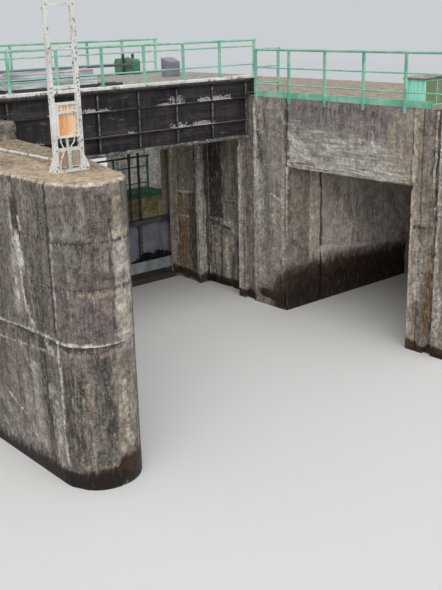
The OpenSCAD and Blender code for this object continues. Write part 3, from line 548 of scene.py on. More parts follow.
pier_marks += marks(
    "pale", (-1.05, 3.5, -1.05, 2.7, 0.11, 0.6), (-1.0, 1.5, -0.95, 0.45, 0.16, 0.6),
    (-0.75, 1.8, -0.6, 0.5, 0.12, 0.6), (1.24, 3.16, 1.32, 2.4, 0.18, 0.88),
    (1.24, 3.95, 1.3, 3.5, 0.18, 0.88), (1.42, 2.2, 1.3, 0.5, 0.1, 0.5)
)
pier_marks += marks(
    "moss", (-0.39, 1.99, -0.35, 1.33, 0.08, 0.5), (-0.36, 4.64, -0.53, 2.6, 0.14, 0.38),
    (0.04, 4.69, 0.03, 3.21, 0.04, 0.35), (0.3, 1.9, 0.28, 0.9, 0.05, 0.5),
    (0.44, 4.5, 0.66, 4.38, 0.04, 0.5), (0.48, 2.18, 0.41, 0.73, 0.03, 0.9),
    (0.86, 4.67, 0.94, 4.49, 0.04, 0.4), (0.88, 1.37, 0.87, 0.96, 0.04, 0.8)
)
pier_marks += marks(
    "rust", (0.44, 4.69, 0.38, 4.44, 0.05, 0.45), (0.95, 0.24, 1.7, 0.34, 0.16, 0.9)
)
pier_marks += marks(
    "tan", (-1.5, 2.25, -1.42, 1.2, 0.15, 0.5), (-1.02, 1.98, -0.6, 0.72, 0.13, 0.42),
    (0.16, 0.44, 0.95, 0.36, 0.03, 0.5), (0.21, 2.23, 0.9, 2.21, 0.02, 0.5),
    (0.23, 3.89, 0.71, 3.91, 0.02, 0.5), (0.35, 1.98, 0.33, 1.52, 0.03, 0.5),
    (0.55, 3.19, 0.91, 3.16, 0.04, 0.8), (0.57, 2.18, 0.54, 0.87, 0.03, 0.35),
    (0.62, 1.9, 0.58, 0.5, 0.05, 0.5), (0.71, 3.85, 0.84, 3.66, 0.04, 0.35),
    (0.94, 2.29, 1.08, 2.31, 0.03, 0.7), (1.0, 1.9, 1.06, 0.6, 0.07, 0.7),
    (1.03, 2.1, 1.11, 1.08, 0.04, 0.5), (1.06, 3.98, 1.44, 3.95, 0.02, 0.8),
    (1.08, 4.03, 1.45, 4.01, 0.04, 0.9), (1.11, 3.18, 1.44, 3.15, 0.04, 0.8),
    (1.12, 2.32, 1.28, 0.67, 0.1, 0.55), (1.12, 3.79, 1.12, 3.33, 0.03, 0.5),
    (1.18, 3.01, 1.29, 2.5, 0.08, 0.7), (1.2, 4.7, 1.25, 3.95, 0.1, 0.55),
    (1.3, 4.49, 1.42, 4.08, 0.09, 0.25)
)
pier_marks += marks(
    "wet", (-2.6, 0.06, -1.02, 0.06, 0.07, 1), (-1.02, 0.08, 0.05, 0.12, 0.1, 1),
    (0.05, 0.12, 0.9, 0.13, 0.13, 1), (0.81, 0.2, 1.24, 0.22, 0.15, 1), (1.1, 0.3, 1.6, 0.3, 0.16, 1)
)
rng = random.Random(11)
pier_marks += rain_runs(rng, -11, -2.2, 4.75, 60) + rain_runs(rng, 1.6, 16.5, 4.75, 96)
for s in np.arange(-11, 17, 0.5):
    if not -2.2 < s < 1.4:
        pier_marks += [
            ("lime", s, 2.37, s + 0.4, 2.38, 0.03, 0.8), ("dark", s, 2.32, s + 0.3, 2.30, 0.035, 0.7)]
        pier_marks.append(("wet", s, 0.02, s + 0.5, 0.04, 0.10, 1.0))
carve(pier, pier_where, [
    (-0.98, 4.70, -0.90, 3.87, 0.045, 0.035), (0.30, 2.31, 1.38, 2.27, 0.03, 0.012),
        (-1.05, 2.30, -0.90, 2.26, 0.05, 0.02),
    (0.10, 0.30, 0.30, 0.12, 0.12, 0.03), (-1.70, 2.30, -1.45, 2.25, 0.06, 0.018),
        (0.55, 4.78, 0.72, 4.77, 0.05, 0.018)
])
# The rim of the top is worn pale round the nose, and the top is damper towards the bridge
pier_marks += [("lime", s, 4.79, s + 0.3, 4.79, 0.012, 0.45) for s in np.arange(-2.4, 1.5, 0.3)]
pier_marks += [("dark", -12, z, 17, z, 0.01, strength)
    for z, strength in ((cast_joint, 1.2), (3.235, 0.6), (3.935, 0.6))]
pier_marks += [("dark", s, 5.15, s - 0.7, 5.2, 0.45, 0.55) for s in np.arange(-2.0, -9.4, -0.8)]
pier_marks += [("dark", s, 5.15, s + 0.5, 5.2, 0.45, 0.55) for s in np.arange(2.6, 7.0, 0.8)]
stain(pier, pier_where, pier_marks)
pier_concrete = concrete(
    "pier concrete", (0.262, 0.226, 0.196), (0.128, 0.110, 0.098), (0.545, 0.420, 0.290), 0.62)
finish_piece(pier, pier_concrete, "mossy_concrete", "pier_nose", "pier_recess_back", "pier_pilaster",
    "pier_slot_back", "pier_tail")


# BEARING BLOCK
# A lower course of concrete on the pier carries the bridge's girders on steel
# pads. Its outer arris is chamfered and its faces are darker than the pier's top.
deck_top = 5.14


def rectangle(x0, x1, y0, y1, *steps):
    """The corners of a plain plan, with the spacing along each of its sides."""
    return [(x, y, step) for (x, y), step in zip(((x0, y0), (x1, y0), (x1, y1), (x0, y1)), steps)]


def plan_of(node, *steps):
    """The plan of a box-shaped CAD node."""
    places = np.array([v.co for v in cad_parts[node].data.vertices]).round(4)
    (x0, y0, _), (x1, y1, _) = places.min(0).tolist(), places.max(0).tolist()
    return rectangle(x0, x1, y0, y1, *steps)


block_corners = plan_of("pier_bearing_block", 0.06, 0.15, 0.2, 0.08)
block_levels = levels_of(deck_top, 0.05, (), 0.045, pier_top)
bearing_block, block_where = cast_block(
    "bearing_block", block_corners, block_levels, 0.12, block_corners[0][:2])
stain(bearing_block, block_where, rain_runs(random.Random(3), 0, 14, 5.1, 26, 4.8) + [
    ("dark", s, 4.82, s + 0.4, 4.82, 0.03, 0.7) for s in np.arange(0, 13, 0.7)])
block_concrete = concrete(
    "block concrete", (0.165, 0.14, 0.13), (0.10, 0.085, 0.08), (0.24, 0.20, 0.165), 0.5)
finish_piece(bearing_block, block_concrete, "concrete", "pier_bearing_block")
# The gate sill is coloured near black: painted shade under the gate leaf
sill_painted_shade = concrete(
    "sill concrete", (0.050, 0.042, 0.034), (0.022, 0.018, 0.015), (0.062, 0.050, 0.038), 0.5, 0.4)
for node, material in (("bearing_plinths", pier_concrete), ("gate_sill", sill_painted_shade)):
    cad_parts[node].data.materials.clear()
    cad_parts[node].data.materials.append(material)

# BAY WALL OF THE ABUTMENT
# One wall closes the bay on the bank's side. From the outlet upstream it has a
# column with worn arrises, a narrow groove, the board recess with its green back,
# a pilaster with a rusty panel between pale ribs, and the slot that guides the gate.
wall_face = [
    (6.1, 0.0), (3.40, 0.0), (3.40, 0.30), (3.05, 0.30), (3.05, 0.02), (3.03, 0.0), (2.78, 0.0), (2.78, 0.06),
    (1.94, 0.06), (1.94, 0.0), (1.82, 0.0), (1.80, 0.02), (1.80, 0.35), (0.25, 0.35), (0.25, 0.02),
        (0.23, 0.0),
    (-0.01, 0.0), (-0.01, 0.09), (-0.33, 0.09), (-0.33, 0.015), (-0.345, 0.0), (-1.425, 0.0), (-1.425, 0.03),
    (-1.455, 0.03), (-1.455, 0.0), (-1.48, 0.0)
]
wall_corners = [(1.76, -1.5, 0.04), (2.54, -1.5, 0.3), (2.54, 6.1, 0.25)]
wall_corners += [(1.74 + depth, y, 0.10 if y > 3.45 else 0.032) for y, depth in wall_face]
bay_wall, bay_boards = cast_block(
    "bay_wall", wall_corners, levels_of(deck_top, 0.036, (), 0.015), 0.15, (1.74, -1.48))


def face_coordinates(block, along=1):
    """Station along Y (or X) and height of each vertex, for marks given on a flat face."""
    return np.array([(v.co[along], v.co.z) for v in block.data.vertices])


bay_where = face_coordinates(bay_wall)
depth_in = np.array([v.co.x for v in bay_wall.data.vertices])
# The column's face in the outlet carries on from its corner
turned = bay_where[:, 0] < -1.492
bay_where[turned, 0] = -1.5 - (depth_in[turned] - 1.74)
# Marks on the sides of the recess and of the slot count their depth from 20 and from 40
inside = (depth_in > 1.75) & (depth_in < 2.085)
for y, base in ((1.80, 20), (3.40, 40)):
    side = inside & (np.abs(bay_where[:, 0] - y) < 0.015)
    bay_where[side, 0] = base + depth_in[side] - 1.74
carve(bay_wall, bay_where, [
    (1.73, 1.67, 1.32, 1.63, 0.03, 0.02), (1.32, 1.63, 0.64, 1.57, 0.03, 0.025),
        (1.33, 1.55, 1.35, 0.05, 0.03, 0.03),
    (1.10, 1.30, 1.02, 0.15, 0.14, 0.03), (0.90, 1.35, 0.86, 0.95, 0.08, 0.02),
        (-0.42, 4.85, -0.44, 4.2, 0.03, 0.012),
    (-0.42, 3.9, -0.43, 3.2, 0.035, 0.02), (-0.40, 2.8, -0.42, 2.2, 0.03, 0.014),
        (-1.48, 3.9, -1.50, 3.5, 0.03, 0.02),
    (1.98, 4.2, 1.97, 3.1, 0.03, 0.012), (0.12, 3.1, 0.10, 2.2, 0.03, 0.012),
        (-1.05, 4.34, -1.38, 4.25, 0.03, 0.008)
])
bay_marks = marks(
    "lime", (-2.1, 1.94, -2.3, 1.74, 0.04, 0.45), (-1.36, 3.4, -1.38, 0.6, 0.06, 0.55),
    (-1.35, 4.82, -1.38, 4.46, 0.03, 0.5), (-1.34, 3.94, -1.39, 3.48, 0.03, 0.6),
    (-1.08, 4.34, -1.38, 4.25, 0.02, 0.7), (-1.03, 2.34, -1.07, 2.17, 0.03, 0.7),
    (-0.97, 2.87, -1.38, 2.68, 0.02, 0.8), (-0.97, 3.67, -1.24, 3.63, 0.02, 0.35),
    (-0.62, 3.4, -0.66, 0.6, 0.1, 0.45), (-0.6, 5.0, -0.64, 4.0, 0.08, 0.4),
    (-0.53, 2.09, -0.55, 0.46, 0.04, 0.6), (-0.49, 4.39, -0.67, 4.31, 0.03, 0.8),
    (-0.45, 3.62, -0.53, 2.09, 0.07, 0.95), (-0.42, 5.0, -0.44, 0.5, 0.12, 0.42),
    (-0.38, 4.9, -0.47, 3.62, 0.05, 0.9), (0.09, 3.81, 0.11, 0.31, 0.03, 0.5),
    (0.12, 5.1, 0.14, 0.3, 0.1, 0.4), (0.18, 4.05, 0.19, 0.27, 0.05, 0.9),
    (0.89, 1.37, 0.85, 1.05, 0.05, 0.6), (0.96, 1.75, 0.8, 1.55, 0.09, 0.75),
    (1.12, 1.74, 1.0, 1.66, 0.05, 0.6), (1.13, 1.28, 1.08, 0.28, 0.07, 0.75),
    (1.16, 1.71, 0.8, 1.71, 0.03, 0.6), (1.17, 2.46, 0.7, 2.5, 0.02, 0.35),
    (1.65, 1.52, 1.66, 0.34, 0.08, 0.55), (1.71, 1.17, 1.54, 1.09, 0.04, 0.5),
    (1.77, 1.8, 1.19, 1.78, 0.04, 0.5), (1.81, 5.1, 1.81, 0.15, 0.026, 0.6),
    (1.87, 5.1, 1.87, 0.09, 0.05, 0.55), (2.74, 1.77, 2.35, 1.79, 0.024, 0.8),
    (2.74, 2.44, 2.16, 2.48, 0.026, 0.9), (2.86, 1.17, 2.88, 0.3, 0.05, 0.6),
    # The wide lime marks at 3.55 and 4.5 are painted light: they make the wall upstream of the slot as pale
    # as it is in the open daylight beyond the bridge
    (2.98, 5.1, 2.98, 0.37, 0.06, 0.62), (3.55, 5.1, 3.62, 0.3, 0.4, 1.1), (3.95, 5.1, 4.1, 0.3, 0.12, 0.5),
    (4.5, 5.1, 4.6, 0.6, 0.5, 0.6), (20.05, 5.1, 20.05, 0.1, 0.06, 0.5), (20.2, 2.4, 20.2, 0.2, 0.02, 0.7)
)
bay_marks += marks(
    "dark", (-1.95, 3.19, -2.3, 3.05, 0.05, 0.3), (-1.61, 1.77, -2.3, 1.3, 0.1, 0.45),
    (-1.6, 0.15, -2.3, 0.15, 0.35, 0.7), (-1.58, 3.43, -1.61, 2.02, 0.05, 0.6),
    (-1.48, 5.1, -1.48, 3.6, 0.035, 1.6), (-0.71, 4.83, -0.81, 4.25, 0.05, 0.4),
    (-0.65, 3.2, -1.41, 3.24, 0.02, 0.45), (-0.63, 1.52, -1.41, 1.6, 0.02, 0.45),
    (-0.62, 0.28, -1.42, 0.15, 0.06, 0.6), (-0.5, 4.53, -0.59, 3.7, 0.08, 0.85),
    (-0.2, 3.84, -0.17, 0.37, 0.04, 0.3), (-0.17, 5.1, -0.17, 0.2, 0.16, 0.35),
    (-0.02, 3.82, 0.02, 0.33, 0.03, 0.5), (0.33, 5.1, 0.32, 0.1, 0.05, 0.7),
    (0.45, 5.1, 0.5, 1.6, 0.12, 0.5), (0.62, 1.4, 0.58, 0.1, 0.09, 0.7), (1.18, 2.3, 0.7, 2.34, 0.02, 0.8),
    (1.2, 5.1, 1.22, 2.4, 0.09, 0.5), (1.32, 1.57, 1.35, 0.03, 0.04, 0.95),
    (1.32, 1.63, 0.64, 1.57, 0.03, 0.95), (1.34, 5.1, 1.34, 2.33, 0.03, 0.5),
    (1.47, 5.1, 1.44, 1.9, 0.16, 1.1), (1.53, 2.57, 1.48, 1.71, 0.06, 0.4),
    (1.57, 5.1, 1.57, 3.63, 0.05, 0.6), (1.72, 5.1, 1.7, 0.1, 0.1, 1.2),
    (1.73, 1.67, 1.32, 1.63, 0.03, 0.95), (1.8, 0.09, 0.64, 0.04, 0.05, 0.7),
    (1.8, 1.68, 1.8, 0.06, 0.06, 0.75), (1.86, 2.2, 1.86, 0.9, 0.03, 0.6),
    (2.02, 5.1, 2.02, 0.05, 0.04, 0.8), (2.14, 2.4, 2.12, 0.05, 0.14, 0.7),
    (2.7, 2.36, 2.2, 2.38, 0.02, 0.6), (2.75, 2.44, 2.75, 0.4, 0.02, 0.7),
    (3.06, 5.1, 3.06, 0.2, 0.02, 0.7), (6.0, 2.33, 6.2, 2.33, 0.03, 0.8),
    # The dark mark at 20.29 darkens the side of the recess next to its back
    (20.29, 5.1, 20.29, 0.1, 0.08, 1.1), (40.3, 5.1, 40.3, 0.1, 0.03, 0.5)
)
bay_marks += marks(
    "moss", (-0.69, 3.35, -0.99, 1.71, 0.13, 0.4), (0.86, 0.83, 0.84, 0.22, 0.06, 0.6),
    (1.34, 3.39, 1.31, 1.79, 0.08, 0.8), (1.4, 2.9, 1.6, 2.0, 0.14, 0.6), (1.52, 5.1, 1.52, 1.7, 0.09, 1),
    (1.6, 3.4, 1.6, 1.9, 0.1, 1.2), (1.62, 1.9, 1.6, 0.3, 0.06, 0.9), (1.68, 5.1, 1.68, 2.96, 0.08, 1),
    (1.8, 5.1, 1.8, 1.45, 0.05, 0.8), (2.58, 1.5, 2.58, 0.4, 0.05, 0.5),
    (20.24, 3.6, 20.25, 1.6, 0.05, 0.8)
)
bay_marks += marks(
    "tan", (-1.95, 2.73, -1.99, 2.16, 0.08, 0.8), (-1.75, 2.74, -2.1, 2.39, 0.05, 0.4),
    (-1.07, 2.59, -1.27, 0.48, 0.12, 0.45), (-0.7, 1.6, -1.0, 0.4, 0.3, 0.35),
    (1.05, 1.34, 1, 0.19, 0.1, 1), (1.5, 1.5, 1.5, 0.3, 0.1, 0.5), (2.52, 2.42, 2.5, 0.4, 0.05, 0.6),
    (2.56, 2.36, 2.55, 0.3, 0.16, 0.7), (2.6, 4.9, 2.55, 2.5, 0.14, 0.45),
    # The wide tan mark at 3.6 is painted light on the wall upstream of the slot
    (2.88, 5.1, 2.88, 0.3, 0.12, 0.8), (3.6, 5.1, 3.7, 0.1, 0.45, 0.9), (40.1, 5.1, 40.12, 0.3, 0.06, 0.5)
)
bay_marks += marks(
    "rust", (-1.27, 1.25, -1.37, 0.24, 0.07, 0.35), (0.9, 0.71, 0.88, 0.1, 0.06, 0.5),
    (2.23, 5.1, 2.23, 2.52, 0.08, 0.22), (2.3, 2.24, 2.34, 0.32, 0.03, 0.6),
    (2.42, 2.33, 2.44, 0.41, 0.04, 0.8), (2.5, 1.7, 2.52, 0.32, 0.03, 0.9),
    (2.62, 2.4, 2.6, 0.28, 0.05, 0.9), (2.7, 1.9, 2.68, 0.3, 0.03, 0.8)
)
bay_marks += marks(
    "wet", (-1.6, 0.42, -2.3, 0.42, 0.5, 1), (-0.69, 0.3, -1.41, 0.25, 0.09, 1),
    (1.8, 0.1, -0.3, 0.12, 0.1, 0.9), (3.0, 0.2, 1.93, 0.14, 0.1, 0.9), (3.4, 0.1, 6.2, 0.03, 0.1, 1.2),
    (20.0, 0.14, 20.4, 0.14, 0.1, 0.9)
)
bay_marks += marks(
    "pale", (-1.1, 2.5, -1.15, 0.6, 0.2, 0.5), (-1.0, 4.9, -1.1, 3.4, 0.25, 0.45),
    # The wide pale marks at 3.6 and 4.9 are painted light on the wall upstream of the slot
    (2.5, 5.1, 2.5, 2.55, 0.25, 0.28), (3.6, 5.1, 3.7, 0.3, 0.45, 1.7), (4.9, 5.1, 4.9, 0.5, 0.9, 1.3),
    (40.16, 5.1, 40.16, 1.9, 0.14, 0.6)
)
bay_marks += rain_runs(random.Random(5), 3.5, 6.1, 5.1, 22)
stain(bay_wall, bay_where, bay_marks, bay_boards[:, 0])
wall_concrete = concrete(
    "wall concrete", (0.465, 0.410, 0.355), (0.27, 0.232, 0.20), (0.36, 0.31, 0.25), 0.60, 0.95, 0.15)
finish_piece(bay_wall, wall_concrete, "mossy_concrete", "wall_column", "bay_recess_back", "bay_pilaster",
    "bay_slot_back", "bay_wall_upstream")

# OUTLET
# A deep concrete beam spans the side outlet. Drift has worn its lower edge round
# and pale. Behind it a side wall, wet and brown below, leads in under the deck.


outlet_top = 3.55


def worn_edge(co):
    """Rounds the beam's lower front edge, more here and less there."""
    low = np.clip((outlet_top + 0.11 - co[:, 2]) / 0.11, 0, 1) * (co[:, 0] < 1.85)
    bite = 0.055 + 0.02 * fractal(co * (0, 1, 0) + (0, 0, 1), 0.35, 9, 3)
    co[:, 0] += low ** 1.6 * bite
    front = (co[:, 0] < 1.85) * (co[:, 2] < 4.4)
    co[:, 0] += front * np.maximum(fractal(co * (0, 1, 2.2), 0.5, 12, 3), 0) * 0.012
    return co


lintel_corners = plan_of("outlet_lintel", 0.2, 0.3, 0.2, 0.035)
lintel_levels = levels_of(deck_top, 0.036, (), 0.02, outlet_top)
lintel, _ = cast_block("outlet_beam", lintel_corners, lintel_levels, 0.2, lintel_corners[3][:2], worn_edge)
lintel_where = face_coordinates(lintel)
lintel_marks = [("lime", y, 3.61, y - 0.3, 3.59, 0.07, 1.3) for y in np.arange(-1.55, -4.6, -0.28)]
lintel_marks += marks(
    "pale", (-3.16, 3.76, -4.81, 3.68, 0.17, 1.25), (-1.6, 4.2, -4.3, 4.05, 0.32, 0.72),
    (-1.54, 3.8, -3.16, 3.76, 0.22, 1.35)
)
lintel_marks += marks(
    "tan", (-4.97, 5.05, -5.02, 3.59, 0.04, 0.9), (-4.8, 4.96, -4.87, 3.61, 0.08, 0.85),
    (-4.6, 4.95, -4.55, 3.66, 0.08, 0.95), (-4.5, 4.3, -5.0, 4.3, 0.3, 0.35),
    (-2.09, 3.97, -3.3, 3.87, 0.06, 0.3)
)
lintel_marks += marks(
    "lime", (-4.78, 4.47, -4.8, 3.86, 0.03, 0.4), (-4.36, 4.44, -4.67, 4.44, 0.02, 0.45),
    (-4.03, 4.58, -4.1, 4.16, 0.05, 0.7), (-3.87, 4.73, -4.24, 4.72, 0.02, 0.35),
    (-3.71, 4.42, -3.77, 4.17, 0.03, 0.6), (-3.14, 4.38, -3.43, 4.34, 0.02, 0.45),
    (-2.76, 4.17, -3.06, 4.04, 0.02, 0.6), (-2.61, 4.22, -3, 4.06, 0.02, 0.8),
    (-2.42, 4.85, -2.46, 4.27, 0.02, 0.45), (-1.61, 4.06, -2.06, 4.06, 0.03, 0.7),
    (-1.61, 4.34, -2.09, 4.33, 0.02, 0.45), (-1.61, 4.66, -1.93, 4.66, 0.02, 0.4),
    (-1.6, 3.9, -2.2, 3.86, 0.06, 0.75), (-1.58, 4.22, -1.95, 4.18, 0.05, 0.7)
)
lintel_marks += marks(
    "dark", (-4.36, 5.05, -4.38, 4.02, 0.03, 0.4), (-3.47, 5, -4.65, 4.87, 0.07, 0.4),
    (-3.37, 4.52, -3.76, 4.47, 0.03, 0.35), (-2.54, 4.9, -2.58, 4.17, 0.06, 0.3),
    (-2.3, 3.95, -3.0, 3.9, 0.05, 0.3), (-1.93, 4.95, -3.41, 4.95, 0.07, 0.45),
    (-1.5, 5.05, -1.5, 3.75, 0.03, 1.5)
)
lintel_marks += marks(
    "moss", (-3.55, 4.32, -3.67, 3.99, 0.06, 0.35), (-1.83, 4.67, -1.87, 3.99, 0.06, 0.35)
)
lintel_marks += marks(
    "rust", (-4.71, 4.77, -4.75, 3.85, 0.08, 0.25)
)
carve(lintel, lintel_where, [
    (-2.61, 4.22, -3.00, 4.06, 0.03, 0.008), (-1.55, 3.8, -1.6, 3.6, 0.05, 0.02),
        (-3.3, 3.62, -3.5, 3.6, 0.05, 0.02),
    (-4.2, 3.64, -4.5, 3.62, 0.05, 0.016), (-2.2, 3.63, -2.4, 3.6, 0.04, 0.016)
])
stain(lintel, lintel_where, lintel_marks)
lintel_concrete = concrete(
    "beam concrete", (0.345, 0.305, 0.290), (0.20, 0.175, 0.17), (0.38, 0.33, 0.27), 0.50, 0.80, 0.75)
finish_piece(lintel, lintel_concrete, "concrete", "outlet_lintel")

side_corners = [
    (2.54, -1.5, 0.036), (2.92, -1.5, 0.02), (2.92, -1.47, 0.02), (2.95, -1.47, 0.02), (2.95, -1.5, 0.036),
    (6.39, -1.5, 0.4), (6.39, -0.7, 0.4), (2.54, -0.7, 0.4)
]
side_wall, _ = cast_block("outlet_wall", side_corners, levels_of(4.69, 0.036), 0.4, (2.54, -1.5))
side_where = face_coordinates(side_wall, 0)
side_marks = marks(
    "lime", (2.34, 1.94, 2.63, 1.74, 0.04, 0.45), (2.95, 1.36, 4.6, 1.2, 0.06, 0.85),
    (2.98, 3.13, 3.02, 2.2, 0.03, 0.5), (3.1, 1.55, 4.2, 1.5, 0.04, 0.5),
    (3.13, 2.01, 3.85, 1.73, 0.04, 0.35), (3.19, 2.4, 3.84, 2.23, 0.03, 0.35),
    (4.04, 1.8, 6.12, 1.23, 0.05, 0.4), (4.4, 1.18, 6.1, 1.02, 0.06, 0.75)
)
side_marks += marks(
    "dark", (2.5, 0.12, 6.4, 0.1, 0.55, 1.0), (2.91, 3.24, 2.96, 0.37, 0.02, 1),
    (2.94, 4.6, 2.94, 0.2, 0.012, 2.0), (3.48, 2.82, 3.87, 2.45, 0.11, 0.4),
    (4.24, 2.76, 4.37, 1.43, 0.06, 0.35), (4.89, 2.3, 5.02, 1.2, 0.05, 0.35),
    (5.72, 2.29, 6.3, 1.2, 0.15, 0.45)
)
side_marks += marks(
    "moss", (3.94, 2.7, 4.03, 2.04, 0.09, 0.45)
)
side_marks += marks(
    "tan", (2.7, 4.6, 2.72, 1.1, 0.16, 0.6), (3.62, 3, 3.82, 2.82, 0.05, 0.4),
    (4.76, 1.74, 5.77, 1.4, 0.04, 0.45), (5.04, 2.54, 5.38, 2.34, 0.05, 0.5)
)
side_marks += marks(
    "wet", (2.5, 0.42, 6.4, 0.3, 0.56, 1)
)
side_marks += marks(
    "rust", (2.6, 1.15, 2.9, 0.7, 0.14, 0.35), (3.1, 1.12, 4.9, 0.6, 0.16, 0.35)
)
side_marks += [("dark", x, 4.6, x + 0.05, 3.2, 0.2, 0.35) for x in (3.3, 4.1, 5.0, 5.9)]
stain(side_wall, side_where, side_marks)
# Painted light: the side wall is coloured far paler than its concrete is, to make up for the shade that the
# deck and the outlet beam cast on it
side_concrete_painted_light = concrete(
    "damp concrete", (0.98, 0.87, 0.82), (0.68, 0.60, 0.56), (0.22, 0.19, 0.15), 0.50, 0.75, 0.5)
finish_piece(side_wall, side_concrete_painted_light, "mossy_concrete", "outlet_side_wall")

# DOWNSTREAM WALL
# The abutment ends downstream of the outlet in a thick wall. Its face towards the
# bay has a slot for boards, gone green, and a rusty stripe beside it.
down_corners = [
    (1.76, -6.1, 0.11), (6.39, -6.1, 0.4), (6.39, -5.1, 0.25), (1.76, -5.1, 0.02), (1.74, -5.12, 0.035),
    (1.74, -5.345, 0.03), (1.77, -5.345, 0.03), (1.77, -5.375, 0.03), (1.74, -5.375, 0.03),
        (1.74, -5.55, 0.03),
    (1.83, -5.55, 0.03), (1.83, -5.77, 0.03), (1.74, -5.77, 0.03), (1.74, -6.08, 0.03)
]
down_levels = levels_of(deck_top, 0.045, [(cast_joint, 0.012, 0.016)], 0.015)
down_wall, _ = cast_block("downstream_wall_cast", down_corners, down_levels, 0.2, (1.74, -6.08))
down_where = face_coordinates(down_wall)
# The face downstream carries on from its corner
across = np.array([v.co.x for v in down_wall.data.vertices])
front = np.array([v.co.y < -6.08 for v in down_wall.data.vertices])
down_where[front, 0] = -6.08 - (across[front] - 1.76)
down_marks = marks(
    "tan", (-5.78, 3.36, -5.81, 2.54, 0.04, 0.5), (-5.6, 5.0, -5.62, 1.8, 0.06, 0.6),
    (-5.2, 5.06, -5.25, 0.11, 0.05, 0.6), (-5.11, 5.09, -5.13, 0.08, 0.12, 2.2),
    (-5.1, 5.0, -5.12, 0.2, 0.1, 0.9)
)
down_marks += marks(
    "pale", (-5.13, 5.0, -5.15, 0.3, 0.08, 1.4)
)
down_marks += marks(
    "dark", (-5.77, 1.47, -5.83, 0.15, 0.03, 0.5), (-5.67, 5.1, -5.66, 0.1, 0.07, 0.6),
    (-5.63, 2.51, -5.63, 0.3, 0.03, 0.5), (-5.34, 5, -5.34, 3.71, 0.03, 0.35),
    (-5.33, 0.7, -5.66, 0.08, 0.05, 0.45), (-5.3, 2.2, -5.5, 0.6, 0.16, 0.4),
    (-5.25, 2.23, -5.25, 1.13, 0.03, 0.45), (-5.17, 2.73, -5.62, 2.74, 0.03, 0.75)
)
down_marks += marks(
    "lime", (-5.94, 1.5, -5.97, 0.64, 0.03, 0.6), (-5.82, 2.33, -5.92, 0.29, 0.04, 0.5),
    (-5.8, 5.0, -5.82, 0.4, 0.04, 0.55), (-5.63, 5.09, -5.62, 3.54, 0.02, 0.9),
    (-5.62, 3.54, -5.63, 2.5, 0.02, 0.5), (-5.45, 2.26, -5.46, 1.62, 0.03, 0.5),
    (-5.34, 2.42, -5.35, 1.19, 0.06, 0.62), (-5.22, 2.82, -5.62, 2.82, 0.02, 0.45),
    (-5.12, 4.9, -5.14, 0.4, 0.03, 0.6), (-5.06, 3.68, -5.18, 0.43, 0.02, 0.5)
)
down_marks += marks(
    "moss", (-5.9, 2.14, -5.91, 1.28, 0.04, 0.5), (-5.66, 0.03, -6.08, 0.04, 0.04, 0.8),
    (-5.63, 4.35, -5.63, 2.75, 0.05, 0.9), (-5.6, 5.0, -5.62, 1.8, 0.03, 0.5),
    (-5.24, 5.07, -5.25, 3.08, 0.05, 0.3)
)
down_marks += marks(
    "rust", (-5.63, 4.15, -5.63, 2.93, 0.03, 0.45), (-5.61, 1.73, -5.62, 0.09, 0.05, 0.9)
)
down_marks += marks(
    "wet", (-5.63, 0.13, -6.05, 0.12, 0.08, 1), (-5.14, 0.15, -5.63, 0.08, 0.08, 1)
)
down_marks += rain_runs(random.Random(8), -10.8, -6.2, 5.1, 60)
down_marks += rain_runs(random.Random(9), -10.8, -6.2, cast_joint, 22)
down_marks += [("dark", -6.1, 2.33, -10.8, 2.33, 0.03, 0.9), ("lime", -6.1, 2.38, -10.8, 2.38, 0.03, 0.6)]
down_marks += [("dark", -5.2, 0.9, -5.5, 0.5, 0.2, 0.4)]
down_marks += [("wet", -s, 0.02, -s - 0.5, 0.03, 0.10, 1.1) for s in np.arange(5.1, 10.8, 0.5)]
stain(down_wall, down_where, down_marks)
down_concrete = concrete(
    "end wall concrete", (0.365, 0.315, 0.262), (0.22, 0.180, 0.146), (0.40, 0.33, 0.26), 0.5)
finish_piece(down_wall, down_concrete, "mossy_concrete", "downstream_wall")

# BACK AND DECK OF THE ABUTMENT
# The rear wall stands against the bank with its casting joints showing, the end
# wall closes the chamber upstream, and the deck slab lies over both and the outlet.
slab_foot = 4.69
rear_joints = [(z, 0.015, 0.02) for z in (1.2, cast_joint, 3.6)]
end_joints = [(cast_joint, 0.015, 0.02)]
for name, node, steps, levels, joints, water, seed in (
    ("rear_wall_cast", "rear_wall", (0.10, 0.08, 0.10, 0.8),
     levels_of(deck_top, 0.07, rear_joints, 0.02), rear_joints, ((-0.4, 0.0), (12.2, 12.6)), 21),
    ("end_wall_cast", "upstream_end_wall", (0.5, 0.5, 0.08, 0.3),
     levels_of(slab_foot, 0.06, end_joints), end_joints, ((0.5, 4.4),), 22),
    ("deck_cast", "abutment_deck", (0.25, 0.25, 0.25, 0.25),
     levels_of(deck_top, 0.1, (), 0.0, slab_foot), [], (), 23),
):
    corners = plan_of(node, *steps)
    block, where = cast_block(name, corners, levels, 0.12, corners[1][:2])
    top = levels[-1][0]
    marks = rain_runs(random.Random(seed), -9, 13, top - 0.03, 110, levels[0][0])
    for z, _, _ in joints:
        marks += [
            ("dark", -1, z - 0.02, 13, z - 0.02, 0.03, 0.9), ("lime", -1, z + 0.03, 13, z + 0.03, 0.03, 0.6)]
        marks += rain_runs(random.Random(seed + z), 0, 12.3, z, 26)
    marks += [("wet", low, 0.03, high, 0.03, 0.10, 1.2) for low, high in water]
    stain(block, where, marks)
    finish_piece(block, down_concrete, "concrete", node)


